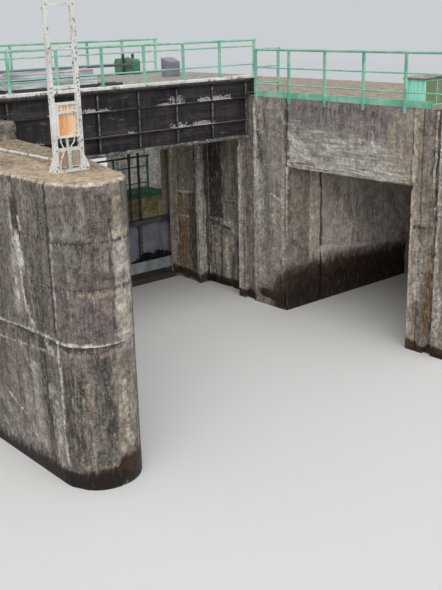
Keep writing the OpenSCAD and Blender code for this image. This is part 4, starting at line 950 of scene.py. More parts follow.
# BRIDGE DECK
# The deck is a thin concrete slab. A low kerb, once painted white, runs along its
# downstream edge. Folded steel covers, screwed down, close the strip over the gate.
bridge_x0, bridge_x1 = -6.79, 2.06
slab_corners = rectangle(bridge_x0, bridge_x1, -0.215, 3.0, 0.05, 0.1, 0.2, 0.1)
slab_levels = levels_of(5.60, 0.03, (), 0.0, 5.52)
deck_slab, _ = cast_block("deck_slab", slab_corners, slab_levels, 0.1, slab_corners[0][:2], None, 0.004)
slab_where = face_coordinates(deck_slab, 0)
stain(deck_slab, slab_where, [("dark", x, 5.52, x + 0.4, 5.53, 0.035, 0.9)
    for x in np.arange(-6.79, 2.1, 0.35)])
deck_concrete = concrete("deck concrete", (0.20, 0.185, 0.175), (0.12, 0.105, 0.10), (0.42, 0.40, 0.36), 0.5)
finish_piece(deck_slab, deck_concrete, "concrete", "bridge_deck")

kerb_corners = rectangle(bridge_x0, bridge_x1, -0.22, -0.11, 0.035, 0.05, 0.05, 0.05)
kerb_levels = levels_of(5.62, 0.015, (), 0.008, 5.556)
kerb, _ = cast_block("deck_kerb", kerb_corners, kerb_levels, 0.04, kerb_corners[0][:2], None, 0.003)
kerb_where = face_coordinates(kerb, 0)
stain(kerb, kerb_where, [("rust", x, 5.6, x + 0.1, 5.56, 0.05, 0.5) for x in (-5.7, -3.2, -0.6, 1.1)] + [
    ("dark", x, 5.56, x + 0.2, 5.56, 0.03, 0.6) for x in np.arange(-6.7, 2.0, 0.9)])
kerb_white = concrete("white kerb", (0.95, 0.94, 0.92), (0.72, 0.70, 0.67), (0.92, 0.91, 0.88), 0.25, 0.22)
finish_piece(kerb, kerb_white, "white_paint")

steel_group, given, result = new_group(
    "tarred steel",
    ("Base", "Band", "Crust"), ("Crust amount", "Moss"))
g, at = steel_group, given["Vector"]
bands = cloud(g, at, 1.0, 0.44, 0.62, 5.0, (0.55, 5, 10))
drips = cloud(g, at, 1.0, 0.46, 0.66, 4.0, (14, 14, 0.8))
tint = mixed(g, times(g, bands, 0.9), given["Base"], given["Band"])
tint = mixed(g, times(g, cloud(g, at, 1.4, 0.50, 0.66, 5.0), 0.7), tint,
    mixed(g, 1.0, given["Base"], (0.45, 0.40, 0.48, 1), "MULTIPLY"))
tint = mixed(g, times(g, drips, 0.30), tint, mixed(g, 1.0, given["Band"], (1.5, 1.35, 1.2, 1), "MULTIPLY"))
scuffs = cloud(g, at, 1.0, 0.60, 0.70, 7.0, (2.2, 9, 12))
tint = mixed(g, times(g, scuffs, 0.5), tint, mixed(g, 0.45, given["Band"], given["Crust"]))
spots = cloud(g, at, 16.0, 0.60, 0.74, 5.0)
tint = mixed(g, times(g, spots, 0.5), tint, (0.10, 0.045, 0.025, 1))
upward = facing_up(g, 0.35, 0.85)
where_crust = times(g, cloud(g, at, 2.3, 0.40, 0.60, 6.0), upward)
tint = mixed(g, times(g, where_crust, given["Crust amount"]), tint, given["Crust"])
green = times(g, cloud(g, at, 6.0, 0.52, 0.66, 5.0), given["Moss"])
tint = mixed(g, green, tint, (0.05, 0.075, 0.035, 1))
g.links.new(tint, result["Color"])
g.links.new(ramp(g, bands, 0.0, 1.0, 0.62, 0.85), result["Roughness"])
g.links.new(calc(g, "ADD", times(g, bands, 0.4), spots), result["Height"])


def steel(name, base, band, crust, amount, moss, *relief, **sheen):
    """Tarred or bare steel with lighter bands, an amount of pale crust on its ledges, and moss."""
    values = {"Base": base, "Band": band, "Crust": crust, "Crust amount": amount, "Moss": moss}
    return group_material(name, steel_group, values, *relief, **sheen)


girder_steel = steel("girder steel", (0.026, 0.022, 0.030), (0.060, 0.053, 0.056), (0.44, 0.42, 0.39),
    0.55, 0.3,
    0.6, 0.008, shine=0.2)
flange_steel = steel("flange steel", (0.075, 0.082, 0.076), (0.26, 0.26, 0.25), (0.52, 0.51, 0.47), 0.9, 0.75,
    0.7, 0.008, shine=0.3)
guide_steel = steel(
    "guide steel", (0.29, 0.245, 0.205), (0.40, 0.34, 0.285), (0.44, 0.42, 0.39), 0.5, 0.2, 0.5, 0.004)
cover_steel = steel(
    "cover steel", (0.10, 0.10, 0.105), (0.16, 0.15, 0.145), (0.30, 0.29, 0.27), 0.5, 0.2, 0.4, 0.003)


def dress(node, material):
    """A CAD node whose shape is right keeps its mesh and gets a finished material."""
    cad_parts[node].data.materials.clear()
    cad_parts[node].data.materials.append(material)


def round_edges(piece, width, segments):
    """Rounds the sharp edges of a piece."""
    rounding = piece.modifiers.new("rounded edges", "BEVEL")
    rounding.width, rounding.segments = width, segments
    rounding.limit_method, rounding.angle_limit = "ANGLE", math.radians(32)


def refined(node, name, material, slot, body="structure", edge=0.003, segments=2):
    """A copy of a CAD node with its edges rounded, which stands for the node."""
    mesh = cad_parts[node].data.copy()
    mesh.name = name
    mesh.materials.clear()
    work = bmesh.new()
    work.from_mesh(mesh)
    bmesh.ops.remove_doubles(work, verts=work.verts, dist=1e-5)
    bmesh.ops.dissolve_limit(work, angle_limit=math.radians(1), verts=work.verts, edges=work.edges)
    work.to_mesh(mesh)
    work.free()
    piece = bpy.data.objects.new(name, mesh)
    scene.collection.objects.link(piece)
    round_edges(piece, edge, segments)
    smooth(mesh, 35)
    finish_piece(piece, material, slot, node, body=body)
    return piece


refined("cover_plates", "steel_covers", cover_steel, "dark_steel", edge=0.004)

# GIRDERS
# Two plated girders carry the deck. Ledges between the rows of plate and upright
# stiffeners are riveted on. Lime has dripped through the deck and lies on the
# ledges in crusts. The lower flange is pale and mossy.
dress("downstream_girder", girder_steel)
dress("upstream_girder", girder_steel)
dress("cross_beams", girder_steel)
dress("slot_guides", guide_steel)


def add_plate(work, low, high, turn=None):
    """A plate given by two corners, added to a bmesh."""
    corners = [(x, y, z) for z in (low[2], high[2]) for y in (low[1], high[1]) for x in (low[0], high[0])]
    if turn:
        corners = [turn @ Vector(c) for c in corners]
    v = [work.verts.new(c) for c in corners]
    for face in ((0, 2, 3, 1), (4, 5, 7, 6), (0, 1, 5, 4), (2, 6, 7, 3), (0, 4, 6, 2), (1, 3, 7, 5)):
        work.faces.new([v[i] for i in face])


def piece_of(work, name, material, slot, body="structure", nodes=(), edge=0.0):
    """A bmesh becomes a finished piece with its material and the body that it rides on."""
    bmesh.ops.recalc_face_normals(work, faces=work.faces)
    mesh = bpy.data.meshes.new(name)
    work.to_mesh(mesh)
    work.free()
    piece = bpy.data.objects.new(name, mesh)
    scene.collection.objects.link(piece)
    if edge:
        round_edges(piece, edge, 2)
    smooth(mesh, 35)
    finish_piece(piece, material, slot, *nodes, body=body)


girder_x0, girder_x1 = -4.64, 1.72
ledge_tops = (5.109, 4.5747)
row_ends = (5.48, *ledge_tops, 4.21)
stations = [girder_x0 + 0.01 + (girder_x1 - girder_x0 - 0.02) * i / 6 for i in range(7)]
work = bmesh.new()
for x in stations:
    for top, low in zip(row_ends, row_ends[1:]):
        add_plate(work, (x - 0.016, -0.150, low + 0.03), (x + 0.016, -0.138, top - 0.05))
piece_of(work, "stiffener_edges", flange_steel, "dark_steel", edge=0.002)
work = bmesh.new()
for y in (-0.2, 3.8):
    side = -1 if y < 0 else 1
    step = (girder_x1 - girder_x0) / 64
    for k in range(64):
        x = girder_x0 + (girder_x1 - girder_x0) * k / 64
        sag = 0.004 * noise.noise((k * 0.7, y, 2.0))
        near, far = sorted((y - side * 0.008, y + side * 0.006))
        add_plate(work, (x, near, 4.146 + sag), (x + step, far, 4.210 + sag))
piece_of(work, "flange_edges", flange_steel, "dark_steel", edge=0.0)

# Rivets, bolts and nuts: one tree of nodes puts a head on every marked point


def points_tree(name, *inputs):
    """A tree of geometry nodes that takes points and named inputs. Returns it with its inputs."""
    tree = bpy.data.node_groups.new(name, "GeometryNodeTree")
    for label, kind in (("Geometry", "Geometry"), *inputs, ("Material", "Material")):
        tree.interface.new_socket(name=label, in_out="INPUT", socket_type="NodeSocket" + kind)
    tree.interface.new_socket(name="Geometry", in_out="OUTPUT", socket_type="NodeSocketGeometry")
    return tree, tree.nodes.new("NodeGroupInput").outputs


def on_points(tree, given, instance, **turn_and_size):
    """Copies of a mesh on the tree's points, as real geometry."""
    inputs = {"Points": given["Geometry"], "Instance": instance.outputs[0], **turn_and_size}
    placed = add_node(tree, "GeometryNodeInstanceOnPoints", inputs)
    return add_node(tree, "GeometryNodeRealizeInstances", {0: placed.outputs[0]})


def deliver(tree, given, made):
    """Gives the geometry its material and hands it out of the tree."""
    clad = add_node(tree, "GeometryNodeSetMaterial", {0: made.outputs[0], "Material": given["Material"]})
    tree.links.new(clad.outputs[0], tree.nodes.new("NodeGroupOutput").inputs[0])




fastener_tree, given = points_tree("fasteners", ("Radius", "Float"), ("Height", "Float"), ("Sides", "Int"))
t = fastener_tree
head = add_node(t, "GeometryNodeMeshCylinder",
    {"Vertices": given["Sides"], "Radius": given["Radius"], "Depth": given["Height"]})
dome = add_node(t, "GeometryNodeMeshUVSphere", {"Segments": 8, "Rings": 4, "Radius": given["Radius"]})
cap_scale = add_node(t, "CombineXYZ", {0: 0.62, 1: 0.62, 2: 0.55})
cap_lift = add_node(t, "CombineXYZ", {2: times(t, given["Height"], 0.5)})
cap = add_node(t, "GeometryNodeTransform",
    {"Geometry": dome.outputs[0], "Scale": cap_scale.outputs[0], "Translation": cap_lift.outputs[0]})
both = add_node(t, "GeometryNodeJoinGeometry")
t.links.new(head.outputs[0], both.inputs[0])
t.links.new(cap.outputs[0], both.inputs[0])
aim = add_node(t, "GeometryNodeInputNamedAttribute", {"Name": "aim"}, data_type="FLOAT_VECTOR")
turned_to = add_node(t, "FunctionNodeAlignRotationToVector", {"Vector": aim.outputs[0]}, axis="Z")
spin = add_node(t, "FunctionNodeRandomValue", {2: 0.0, 3: 6.28, "Seed": 4}, data_type="FLOAT")
spun = add_node(t, "FunctionNodeRotateRotation", {0: turned_to.outputs[0]}, rotation_space="LOCAL")
about = add_node(t, "FunctionNodeAxisAngleToRotation", {"Axis": (0, 0, 1), "Angle": spin.outputs[1]})
t.links.new(about.outputs[0], spun.inputs[1])
deliver(t, given, on_points(t, given, both, Rotation=spun.outputs[0]))


def grown(name, places, tree, values, slot, body="structure", aims=()):
    """Runs a node tree once on points and keeps the result as a plain mesh that rides on a body."""
    mesh = bpy.data.meshes.new(name)
    mesh.from_pydata(places, [], [])
    if aims:
        mesh.attributes.new("aim", "FLOAT_VECTOR", "POINT").data.foreach_set("vector", aims)
    seedling = bpy.data.objects.new(name + "_points", mesh)
    scene.collection.objects.link(seedling)
    maker = seedling.modifiers.new("maker", "NODES")
    maker.node_group = tree
    for item in tree.interface.items_tree:
        if item.in_out == "INPUT" and item.name in values:
            maker[item.identifier] = values[item.name]
    made = bpy.data.meshes.new_from_object(seedling.evaluated_get(bpy.context.evaluated_depsgraph_get()))
    bpy.data.objects.remove(seedling)
    made.name = name
    piece = bpy.data.objects.new(name, made)
    scene.collection.objects.link(piece)
    smooth(made, 40)
    finish_piece(piece, None, slot, body=body)


def fasten(name, spots, radius, height, sides, material, slot, body="structure"):
    """Heads on points. A spot is x, y, z and the way that it points."""
    aims = [part for spot in spots for part in spot[3]]
    values = {"Radius": radius, "Height": height, "Sides": sides, "Material": material}
    grown(name, [spot[:3] for spot in spots], fastener_tree, values, slot, body, aims)


rivets = []
for y, way in ((-0.170, -1), (3.770, 1)):
    for top in ledge_tops:
        xs = np.arange(girder_x0 + 0.1, girder_x1, 0.16)
        rivets += [(x, y - 0.1 * way, top + 0.001, (0, 0, 1)) for x in xs]
for side, y in ((-1, -0.0655), (1, 3.6655)):
    for low, high in ((4.22, 4.54), (4.60, 5.07), (5.13, 5.46)):
        for x in stations[1:-1]:
            rivets += [(x + dx, y, z, (0, side, 0)) for dx in (-0.055, 0.055)
                for z in np.arange(low + 0.05, high, 0.11)]
fasten("girder_rivets", rivets, 0.014, 0.006, 8, girder_steel, "dark_steel")

# Lime crusts on the ledges, where water drips from the deck's joints
crust_inputs = (("Least", "Vector"), ("Most", "Vector"), ("Ruffle", "Vector"), ("Seed", "Int"))
crust_tree, given = points_tree("lime crusts", *crust_inputs)
t = crust_tree
lump = add_node(t, "GeometryNodeMeshIcoSphere", {"Radius": 1.0, "Subdivisions": 2})
wobble = add_node(t, "TexNoise", {"Scale": 1.7, "Detail": 3.0})
offset = add_node(t, "VectorMath", {0: wobble.outputs["Color"], 1: (0.5, 0.5, 0.5)}, operation="SUBTRACT")
lumpy = add_node(t, "GeometryNodeSetPosition", {"Geometry": lump.outputs[0], "Offset": offset.outputs[0]})
sized = add_node(t, "FunctionNodeRandomValue",
    {0: given["Least"], 1: given["Most"], "Seed": given["Seed"]}, data_type="FLOAT_VECTOR")
spin = add_node(t, "FunctionNodeRandomValue", {2: -0.5, 3: 0.5, "Seed": given["Seed"]}, data_type="FLOAT")
turned_by = add_node(t, "FunctionNodeAxisAngleToRotation", {"Axis": (0, 0, 1), "Angle": spin.outputs[1]})
real = on_points(t, given, lumpy, Rotation=turned_by.outputs[0], Scale=sized.outputs[0])
# The joined lumps are ruffled by their place, so that no two outlines are alike
folds = add_node(t, "TexNoise", {"Scale": 26.0, "Detail": 3.0})
about_zero = add_node(t, "VectorMath", {0: folds.outputs["Color"], 1: (0.5, 0.5, 0.5)}, operation="SUBTRACT")
pushed = add_node(t, "VectorMath", {0: about_zero.outputs[0], 1: given["Ruffle"]}, operation="MULTIPLY")
ruffled = add_node(t, "GeometryNodeSetPosition", {"Geometry": real.outputs[0], "Offset": pushed.outputs[0]})
deliver(t, given, ruffled)
lime_crust = steel(
    "lime crust", (0.52, 0.50, 0.47), (0.33, 0.30, 0.275), (0.66, 0.65, 0.62), 0.6, 0.2, 0.8, 0.006)
rng = random.Random(19)
on_ledge, on_web = [], []
for x0, x1, top, count, rise in (
    (-2.95, -2.25, 5.109, 60, 0.05), (-0.80, -0.55, 5.109, 30, 0.03), (-0.50, -0.18, 5.109, 60, 0.17),
    (0.30, 1.22, 5.109, 110, 0.08), (-0.52, -0.05, 4.5747, 44, 0.09), (0.05, 0.70, 4.5747, 60, 0.07),
    (-3.7, -3.5, 5.109, 9, 0.02), (-4.2, -3.9, 4.5747, 10, 0.02), (-1.7, -1.6, 4.5747, 7, 0.02)
):
    for _ in range(count):
        x = x0 + (x1 - x0) * min(max(rng.gauss(0.5, 0.24), 0), 1)
        on_ledge.append((x, -0.085 - 0.075 * rng.random(), top + 0.002))
        on_ledge.append((x + rng.uniform(-0.5, 0.5), 3.680 + 0.06 * rng.random(), top + 0.002))
        # Less and less of it has crept up the web
        for _ in range(3):
            on_web.append((x + rng.uniform(-0.06, 0.06), -0.068, top + rise * rng.random() ** 1.7))
for name, places, least, most, ruffle in (
    ("ledge_crusts", on_ledge, (0.018, 0.016, 0.003), (0.060, 0.036, 0.010), (0.10, 0.03, 0.016)),
    ("web_crusts", on_web, (0.004, 0.002, 0.003), (0.026, 0.004, 0.014), (0.12, 0.003, 0.10))
):
    values = {"Least": least, "Most": most, "Ruffle": ruffle, "Seed": 5, "Material": lime_crust}
    grown(name, places, crust_tree, values, "concrete")
# Moss and lime have grown in small cushions along the lower flange
cushions = []
for _ in range(520):
    x = rng.uniform(girder_x0, girder_x1)
    if noise.noise((x * 2.3, 0, 4.0)) > -0.15:
        cushions.append((x, -0.205 + 0.008 * rng.random(), 4.150 + 0.062 * rng.random() ** 0.6))
growth = steel(
    "flange growth", (0.34, 0.35, 0.31), (0.20, 0.22, 0.17), (0.52, 0.52, 0.47), 0.7, 0.8, 0.8, 0.006)
grown("flange_growth", cushions, crust_tree, {
    "Least": (0.010, 0.004, 0.004), "Most": (0.045, 0.010, 0.016), "Ruffle": (0.05, 0.012, 0.04),
    "Seed": 6, "Material": growth}, "dark_steel")

# RAILINGS
# Rails of tube on posts of rolled angle, painted mint green over an older coat.
# The bridge's posts stand on bolted plates; those of the abutment are bolted to
# its face, with a channel along the edge as a toe board.
paint_group, given, result = new_group(
    "worn paint",
    ("Paint", "Faded", "Under"), ("Wear", "Runs", "Grain"))
g, at = paint_group, given["Vector"]
bleached = cloud(g, at, 2.4, 0.35, 0.68, 5.0)
tint = mixed(g, bleached, given["Paint"], given["Faded"])
upward = facing_up(g, 0.2, 0.9)
tint = mixed(g, times(g, upward, 0.6), tint, given["Faded"])
run_marks = times(g, cloud(g, at, 1.0, 0.50, 0.72, 5.0, (26, 26, 1.5)), given["Runs"])
tint = mixed(g, run_marks, tint, mixed(g, 1.0, tint, (0.50, 0.46, 0.38, 1), "MULTIPLY"))
flakes = grain_of(g, at, 21.0, 7.0, 0.66)
level_of = calc(g, "ADD", flakes, times(g, calc(g, "SUBTRACT", cloud(g, at, 1.7, 0.3, 0.7), 0.5), 0.12))
limit = calc(g, "SUBTRACT", 0.86, times(g, given["Wear"], 0.36))
bare = ramp(g, calc(g, "SUBTRACT", level_of, limit), 0.0, 0.022)
halo = ramp(g, calc(g, "SUBTRACT", level_of, limit), -0.05, 0.01)
tint = mixed(g, times(g, halo, 0.35), tint, (0.36, 0.24, 0.13, 1))
tint = mixed(g, bare, tint, given["Under"])
dust = grain_of(g, at, 55.0, 4.0, 0.7)
light = ramp(g, dust, 0.3, 0.7, 0.80, 1.18)
tint = mixed(g, given["Grain"], tint, toned(g, tint, light))
g.links.new(tint, result["Color"])
g.links.new(ramp(g, bare, 0.0, 1.0, 0.46, 0.85), result["Roughness"])
g.links.new(calc(g, "ADD", times(g, bare, -0.8), times(g, dust, 0.2)), result["Height"])


def paint(name, fresh, faded, under, wear, runs, grain, *relief, **sheen):
    """Paint that fades upward, worn through to what is under it, with dirty runs."""
    values = {"Paint": fresh, "Faded": faded, "Under": under, "Wear": wear, "Runs": runs, "Grain": grain}
    return group_material(name, paint_group, values, *relief, **sheen)


mint = paint("mint paint", (0.17, 0.50, 0.345), (0.40, 0.70, 0.545), (0.10, 0.055, 0.035), 0.44, 0.45, 0.8)
for node in ("downstream_railing", "upstream_railing", "wall_railing", "return_railing"):
    refined(node, node.replace("railing", "rails"), mint, "green_paint", edge=0.0015, segments=1)
zinc = paint(
    "zinc bolts", (0.30, 0.31, 0.30), (0.45, 0.45, 0.43), (0.16, 0.07, 0.035), 0.7, 0.3, 0.8, metallic=0.4)


def plate_bolts(x0, x1, count, y, z):
    """Four bolts on each base plate of a railing along X."""
    xs = [x0 + 0.06 + (x1 - x0 - 0.12) * i / count for i in range(count + 1)]
    return [(x + dx, y + dy, z + 0.018, (0, 0, 1)) for x in xs for dx in (-0.043, 0.043)
        for dy in (-0.043, 0.043)]


bolts = plate_bolts(-6.77, 2.04, 8, -0.155, 5.62) + plate_bolts(-6.77, 2.04, 8, 3.755, 5.58)
bolts += plate_bolts(1.7403, 2.60, 1, -0.41, 5.14) + plate_bolts(-4.31, 1.39, 5, 3.485, 2.4103)
post_ys = [-6.0 + (5.5297 - 0.05) * i / 5 + 0.03 for i in range(6)]
bolts += [(1.6885, y, z, (-1, 0, 0)) for y in post_ys for z in (5.05, 5.10)]
fasten("railing_bolts", bolts, 0.013, 0.014, 6, zinc, "dark_steel")
# A strap over the kerb ties each end post of the bridge to the deck, with a white knob below
work = bmesh.new()
end_posts = (-6.71, 1.98)
for x in end_posts:
    add_plate(work, (x - 0.025, -0.228, 5.53), (x + 0.025, -0.216, 5.632))
    add_plate(work, (x - 0.024, -0.226, 5.622), (x + 0.024, -0.18, 5.634))
piece_of(work, "post_straps", mint, "green_paint", edge=0.002)
fasten("strap_knobs", [(x, -0.222, 5.535, (0, -1, 0))
    for x in end_posts], 0.032, 0.016, 8, kerb_white, "white_paint")


# STEPS AND CABINET
# Two cast steps lead up to the bridge. The cabinet is a folded sheet housing under a
# concrete slab: its side is bleached turquoise. Its doors are dark olive, partly algae and partly painted
# shade under the slab's overhang.
dress("bridge_steps", deck_concrete)
dress("cabinet_roof", deck_concrete)
cabinet_paint = paint(
    "cabinet paint", (0.40, 1.0, 0.80), (0.52, 1.0, 0.88), (0.12, 0.13, 0.09), 0.22, 0.75, 0.6)
# The doors' paint is darker than the housing's: algae, and painted shade of the overhanging slab
door_paint_with_painted_shade = paint("door paint", (0.15, 0.21, 0.11), (0.23, 0.33, 0.19), (0.07, 0.06, 0.03), 0.5, 0.9, 0.8)
cabinet_x, cabinet_y = 2.09, -5.08
refined("cabinet", "cabinet_housing", cabinet_paint, "green_paint", edge=0.004)
work = bmesh.new()
for k in range(7):
    y = cabinet_y + 0.05 + k * 0.063
    add_plate(work, (cabinet_x - 0.006, y, 5.17), (cabinet_x + 0.004, y + 0.03, 5.63))
piece_of(work, "cabinet_ribs", cabinet_paint, "green_paint", edge=0.003)
work = bmesh.new()
for x in (2.115, 2.5025):
    add_plate(work, (x, -5.094, 5.168), (x + 0.3625, -5.086, 5.632))
    for z in (5.20, 5.58):
        add_plate(work, (x + 0.012, -5.100, z), (x + 0.052, -5.092, z + 0.035))
    for k in range(6):
        add_plate(work, (x + 0.09, -5.101, 5.24 + k * 0.022), (x + 0.27, -5.092, 5.25 + k * 0.022))
piece_of(work, "cabinet_doors", door_paint_with_painted_shade, "dark_green_paint", edge=0.002)
work = bmesh.new()
for x in (2.445, 2.52):
    add_plate(work, (x, -5.103, 5.37), (x + 0.022, -5.094, 5.47))
    add_plate(work, (x + 0.004, -5.112, 5.40), (x + 0.018, -5.101, 5.44))
piece_of(work, "cabinet_handles", zinc, "dark_steel", edge=0.002)

# STORED BOARDS
# Spare stop boards lie on two near-black runners beside the kerb, the upper one purple
# grey, the lower one blue grey. Their top edges are splintered, and a tongue stands
# along the upper one. The runners' black is partly tar and partly painted shade of the gap under the boards.
board_group, given, result = new_group(
    "weathered board", ("Light", "Mid", "Dark"))
g, at = board_group, given["Vector"]
grain = cloud(g, at, 1.0, 0.35, 0.70, 7.0, (1.1, 26, 30))
broad = cloud(g, at, 1.0, 0.35, 0.65, 3.0, (0.8, 4, 7))
tint = mixed(g, broad, given["Mid"], given["Light"])
tint = mixed(g, times(g, grain, 0.75), tint, given["Dark"])
checks = cloud(g, at, 1.0, 0.64, 0.70, 4.0, (0.9, 40, 34))
tint = mixed(g, checks, tint, (0.02, 0.018, 0.02, 1))
g.links.new(tint, result["Color"])
result["Roughness"].default_value = 0.9
g.links.new(calc(g, "SUBTRACT", times(g, grain, 0.6), checks), result["Height"])


def timber(name, light, mid, dark):
    """Weathered wood in three tones."""
    return group_material(name, board_group, {"Light": light, "Mid": mid, "Dark": dark}, 0.7, 0.006)


purple_board = timber("purple grey boards", (0.80, 0.78, 0.87), (0.46, 0.45, 0.54), (0.14, 0.125, 0.15))
blue_board = timber("blue grey boards", (0.72, 0.81, 0.82), (0.40, 0.48, 0.51), (0.12, 0.14, 0.15))


def plank(work, x0, x1, low, high, ragged, seed, step=0.05):
    """A board along X, its upper edges splintered and its ends uneven."""
    count = round((x1 - x0) / step)
    rows = []
    for k in range(count + 1):
        x = x0 + (x1 - x0) * k / count
        bite = ragged * max(0.0, noise.noise((x * 2.4, seed, 0.0)) - 0.05)
        bite += 0.25 * ragged * noise.noise((x * 11, seed, 3.0))
        bow = 0.006 * math.sin(x * 1.3 + seed)
        top, dip = high[1] - 0.008, max(0.0, bite)
        profile = [(low[0], low[1]), (high[0], low[1]), (high[0], top - dip * 0.5), (high[0] - 0.02, top),
                   (low[0] + 0.05, top - dip * 0.2), (low[0] + 0.012, top - dip), (low[0], top - dip - 0.012)]
        ends = [0.01 * noise.noise((y * 9, z * 9, seed + k // count)) for y, z in profile]
        rows.append([work.verts.new((x + end, y + bow, z)) for end, (y, z) in zip(ends, profile)])
    n = len(rows[0])
    for a, b in zip(rows, rows[1:]):
        for i in range(n):
            work.faces.new((a[i], a[(i + 1) % n], b[(i + 1) % n], b[i]))
    work.faces.new(rows[0][::-1])
    work.faces.new(rows[-1])


work = bmesh.new()
plank(work, -4.585, -2.445, (-0.066, 5.682), (0.266, 5.838), 0.05, 1.0)
piece_of(work, "lower_board", blue_board, "weathered_board", nodes=["stored_stop_logs"])
work = bmesh.new()
plank(work, -4.495, -2.495, (-0.016, 5.842), (0.316, 5.996), 0.075, 6.0)
plank(work, -4.44, -2.55, (0.124, 5.985), (0.182, 6.018), 0.02, 9.0)
piece_of(work, "upper_board", purple_board, "weathered_board")
# Runners lift the boards off the deck, coloured near black: partly tar, partly painted shade of the gap under
# the boards
work = bmesh.new()
for y in (-0.068, 0.172):
    plank(work, -4.588, -1.792, (y, 5.602), (y + 0.096, 5.680), 0.012, 4.0 + y)
runner_tar_and_painted_shade = timber("tarred runners", (0.10, 0.10, 0.11), (0.055, 0.052, 0.058), (0.02, 0.018, 0.02))
piece_of(work, "board_runners", runner_tar_and_painted_shade, "weathered_board")

# CONTROL BOX
# A grey-purple switch box with a sloping lid stands near the hoist. It has a door
# with a hasp, and cable glands under a rain lip.
grey_paint = paint("grey paint", (0.20, 0.19, 0.245), (0.33, 0.32, 0.37), (0.12, 0.07, 0.05), 0.4, 0.7, 0.7)
refined("control_box", "switch_box", grey_paint, "grey_paint", edge=0.006)
work = bmesh.new()
add_plate(work, (0.465, 1.189, 5.64), (0.765, 1.204, 5.94))
for z in (5.68, 5.87):
    add_plate(work, (0.455, 1.180, z), (0.485, 1.192, z + 0.045))
add_plate(work, (0.735, 1.176, 5.76), (0.757, 1.192, 5.83))
piece_of(work, "switch_box_door", grey_paint, "grey_paint", edge=0.003)

# MAST
# A ladder mast of square tube stands on the nose, painted white over speckled
# rust. It carries an open tray with a rusty panel. Two bent conduits and a pipe run
# down from the tray to the foot, and a white conduit leads away on clips.
white = paint(
    "white paint", (0.66, 0.66, 0.63), (0.82, 0.83, 0.82), (0.13, 0.105, 0.09), 0.72, 0.40, 1.0, 0.5, 0.003)
refined("mast_frame", "mast_ladder", white, "white_paint", edge=0.004)
rust_group, given, result = new_group(
    "rusty panel", ("Cream", "Orange", "Brown"))
g, at = rust_group, given["Vector"]
parts = add_node(g, "SeparateXYZ", {0: at}).outputs
blotch = cloud(g, at, 3.4, 0.40, 0.62, 6.0)
along = calc(g, "ADD", parts["X"], times(g, blotch, 0.05))
rusting = ramp(g, along, -6.10, -5.86, 1.0, 0.15)
upper = ramp(g, parts["Z"], 5.63, 5.66)
tint = mixed(g, times(g, rusting, calc(g, "SUBTRACT", 1.0, upper)), given["Cream"], given["Orange"])
spots = cloud(g, at, 26.0, 0.54, 0.64, 4.0)
tint = mixed(g, times(g, spots, ramp(g, upper, 0.0, 1.0, 0.35, 0.85)), tint, given["Brown"])
drip = cloud(g, at, 1.0, 0.50, 0.66, 4.0, (30, 30, 2.5))
tint = mixed(g, times(g, drip, 0.45), tint, given["Brown"])
g.links.new(tint, result["Color"])
result["Roughness"].default_value = 0.8
g.links.new(times(g, spots, -1.0), result["Height"])
rusty = group_material("rusty panel", rust_group,
    {"Cream": (0.90, 0.71, 0.49), "Orange": (0.90, 0.37, 0.12), "Brown": (0.28, 0.095, 0.035)}, 0.5, 0.002)
tray_x0, tray_x1 = -6.1697, -5.7903
tray_y0, tray_y1 = -4.62, -4.50
tray_z0, tray_z1 = 5.30, 5.82
work = bmesh.new()
rim = 0.034
for x in (tray_x0, tray_x1 - rim):
    add_plate(work, (x, tray_y0, tray_z0), (x + rim, tray_y1, tray_z1))
# The cross bars are welded in between the uprights, a little behind their faces
for z in (tray_z0 + 0.001, 5.658, tray_z1 - rim - 0.001):
    add_plate(work, (tray_x0 + 0.030, tray_y0 + 0.002, z), (tray_x1 - 0.030, tray_y1 - 0.002, z + rim))
piece_of(work, "tray_rims", white, "white_paint", nodes=["mast_panel_box"], edge=0.004)
work = bmesh.new()
add_plate(work, (tray_x0 + 0.02, tray_y0 + 0.040, tray_z0 + 0.02), (tray_x1 - 0.02, tray_y1 - 0.004, 5.67))
add_plate(work, (tray_x0 + 0.02, tray_y0 + 0.045, 5.68), (tray_x1 - 0.02, tray_y1 - 0.004, tray_z1 - 0.02))
piece_of(work, "tray_panels", rusty, "rusty_panel", edge=0.002)
panel_screws = [(x, tray_y0 + 0.039, z, (0, -1, 0)) for x in (-6.11, -5.85) for z in (5.36, 5.62)]
foot_bolts = [(x, y, 4.83, (0, 0, 1)) for x in (-6.245, -6.12, -5.84, -5.715) for y in (-4.64, -4.48)]
rung_bolts = [
    (x, -4.592, z + 0.025, (0, -1, 0)) for x in (-6.205, -5.755) for z in (5.1, 5.95, 6.015, 6.57, 7.18)]
fasten("mast_bolts", foot_bolts + rung_bolts, 0.014, 0.018, 6, zinc, "dark_steel")
fasten("panel_screws", panel_screws, 0.008, 0.005, 8, zinc, "dark_steel")


def tube(name, points, radius, material, slot, sides=10):
    """A bent pipe along a smooth path, closed at both ends."""
    line = bpy.data.curves.new(name, "CURVE")
    line.dimensions = "3D"
    line.bevel_depth, line.bevel_resolution, line.use_fill_caps = radius, sides // 4, True
    path = line.splines.new("BEZIER")
    path.bezier_points.add(len(points) - 1)
    for knot, place in zip(path.bezier_points, points):
        knot.co = place
        knot.handle_left_type = knot.handle_right_type = "AUTO"
    path.resolution_u = 8
    seedling = bpy.data.objects.new(name, line)
    scene.collection.objects.link(seedling)
    mesh = bpy.data.meshes.new_from_object(seedling.evaluated_get(bpy.context.evaluated_depsgraph_get()))
    bpy.data.objects.remove(seedling)
    work = bmesh.new()
    work.from_mesh(mesh)
    bmesh.ops.remove_doubles(work, verts=work.verts, dist=1e-5)
    piece_of(work, name, material, slot)


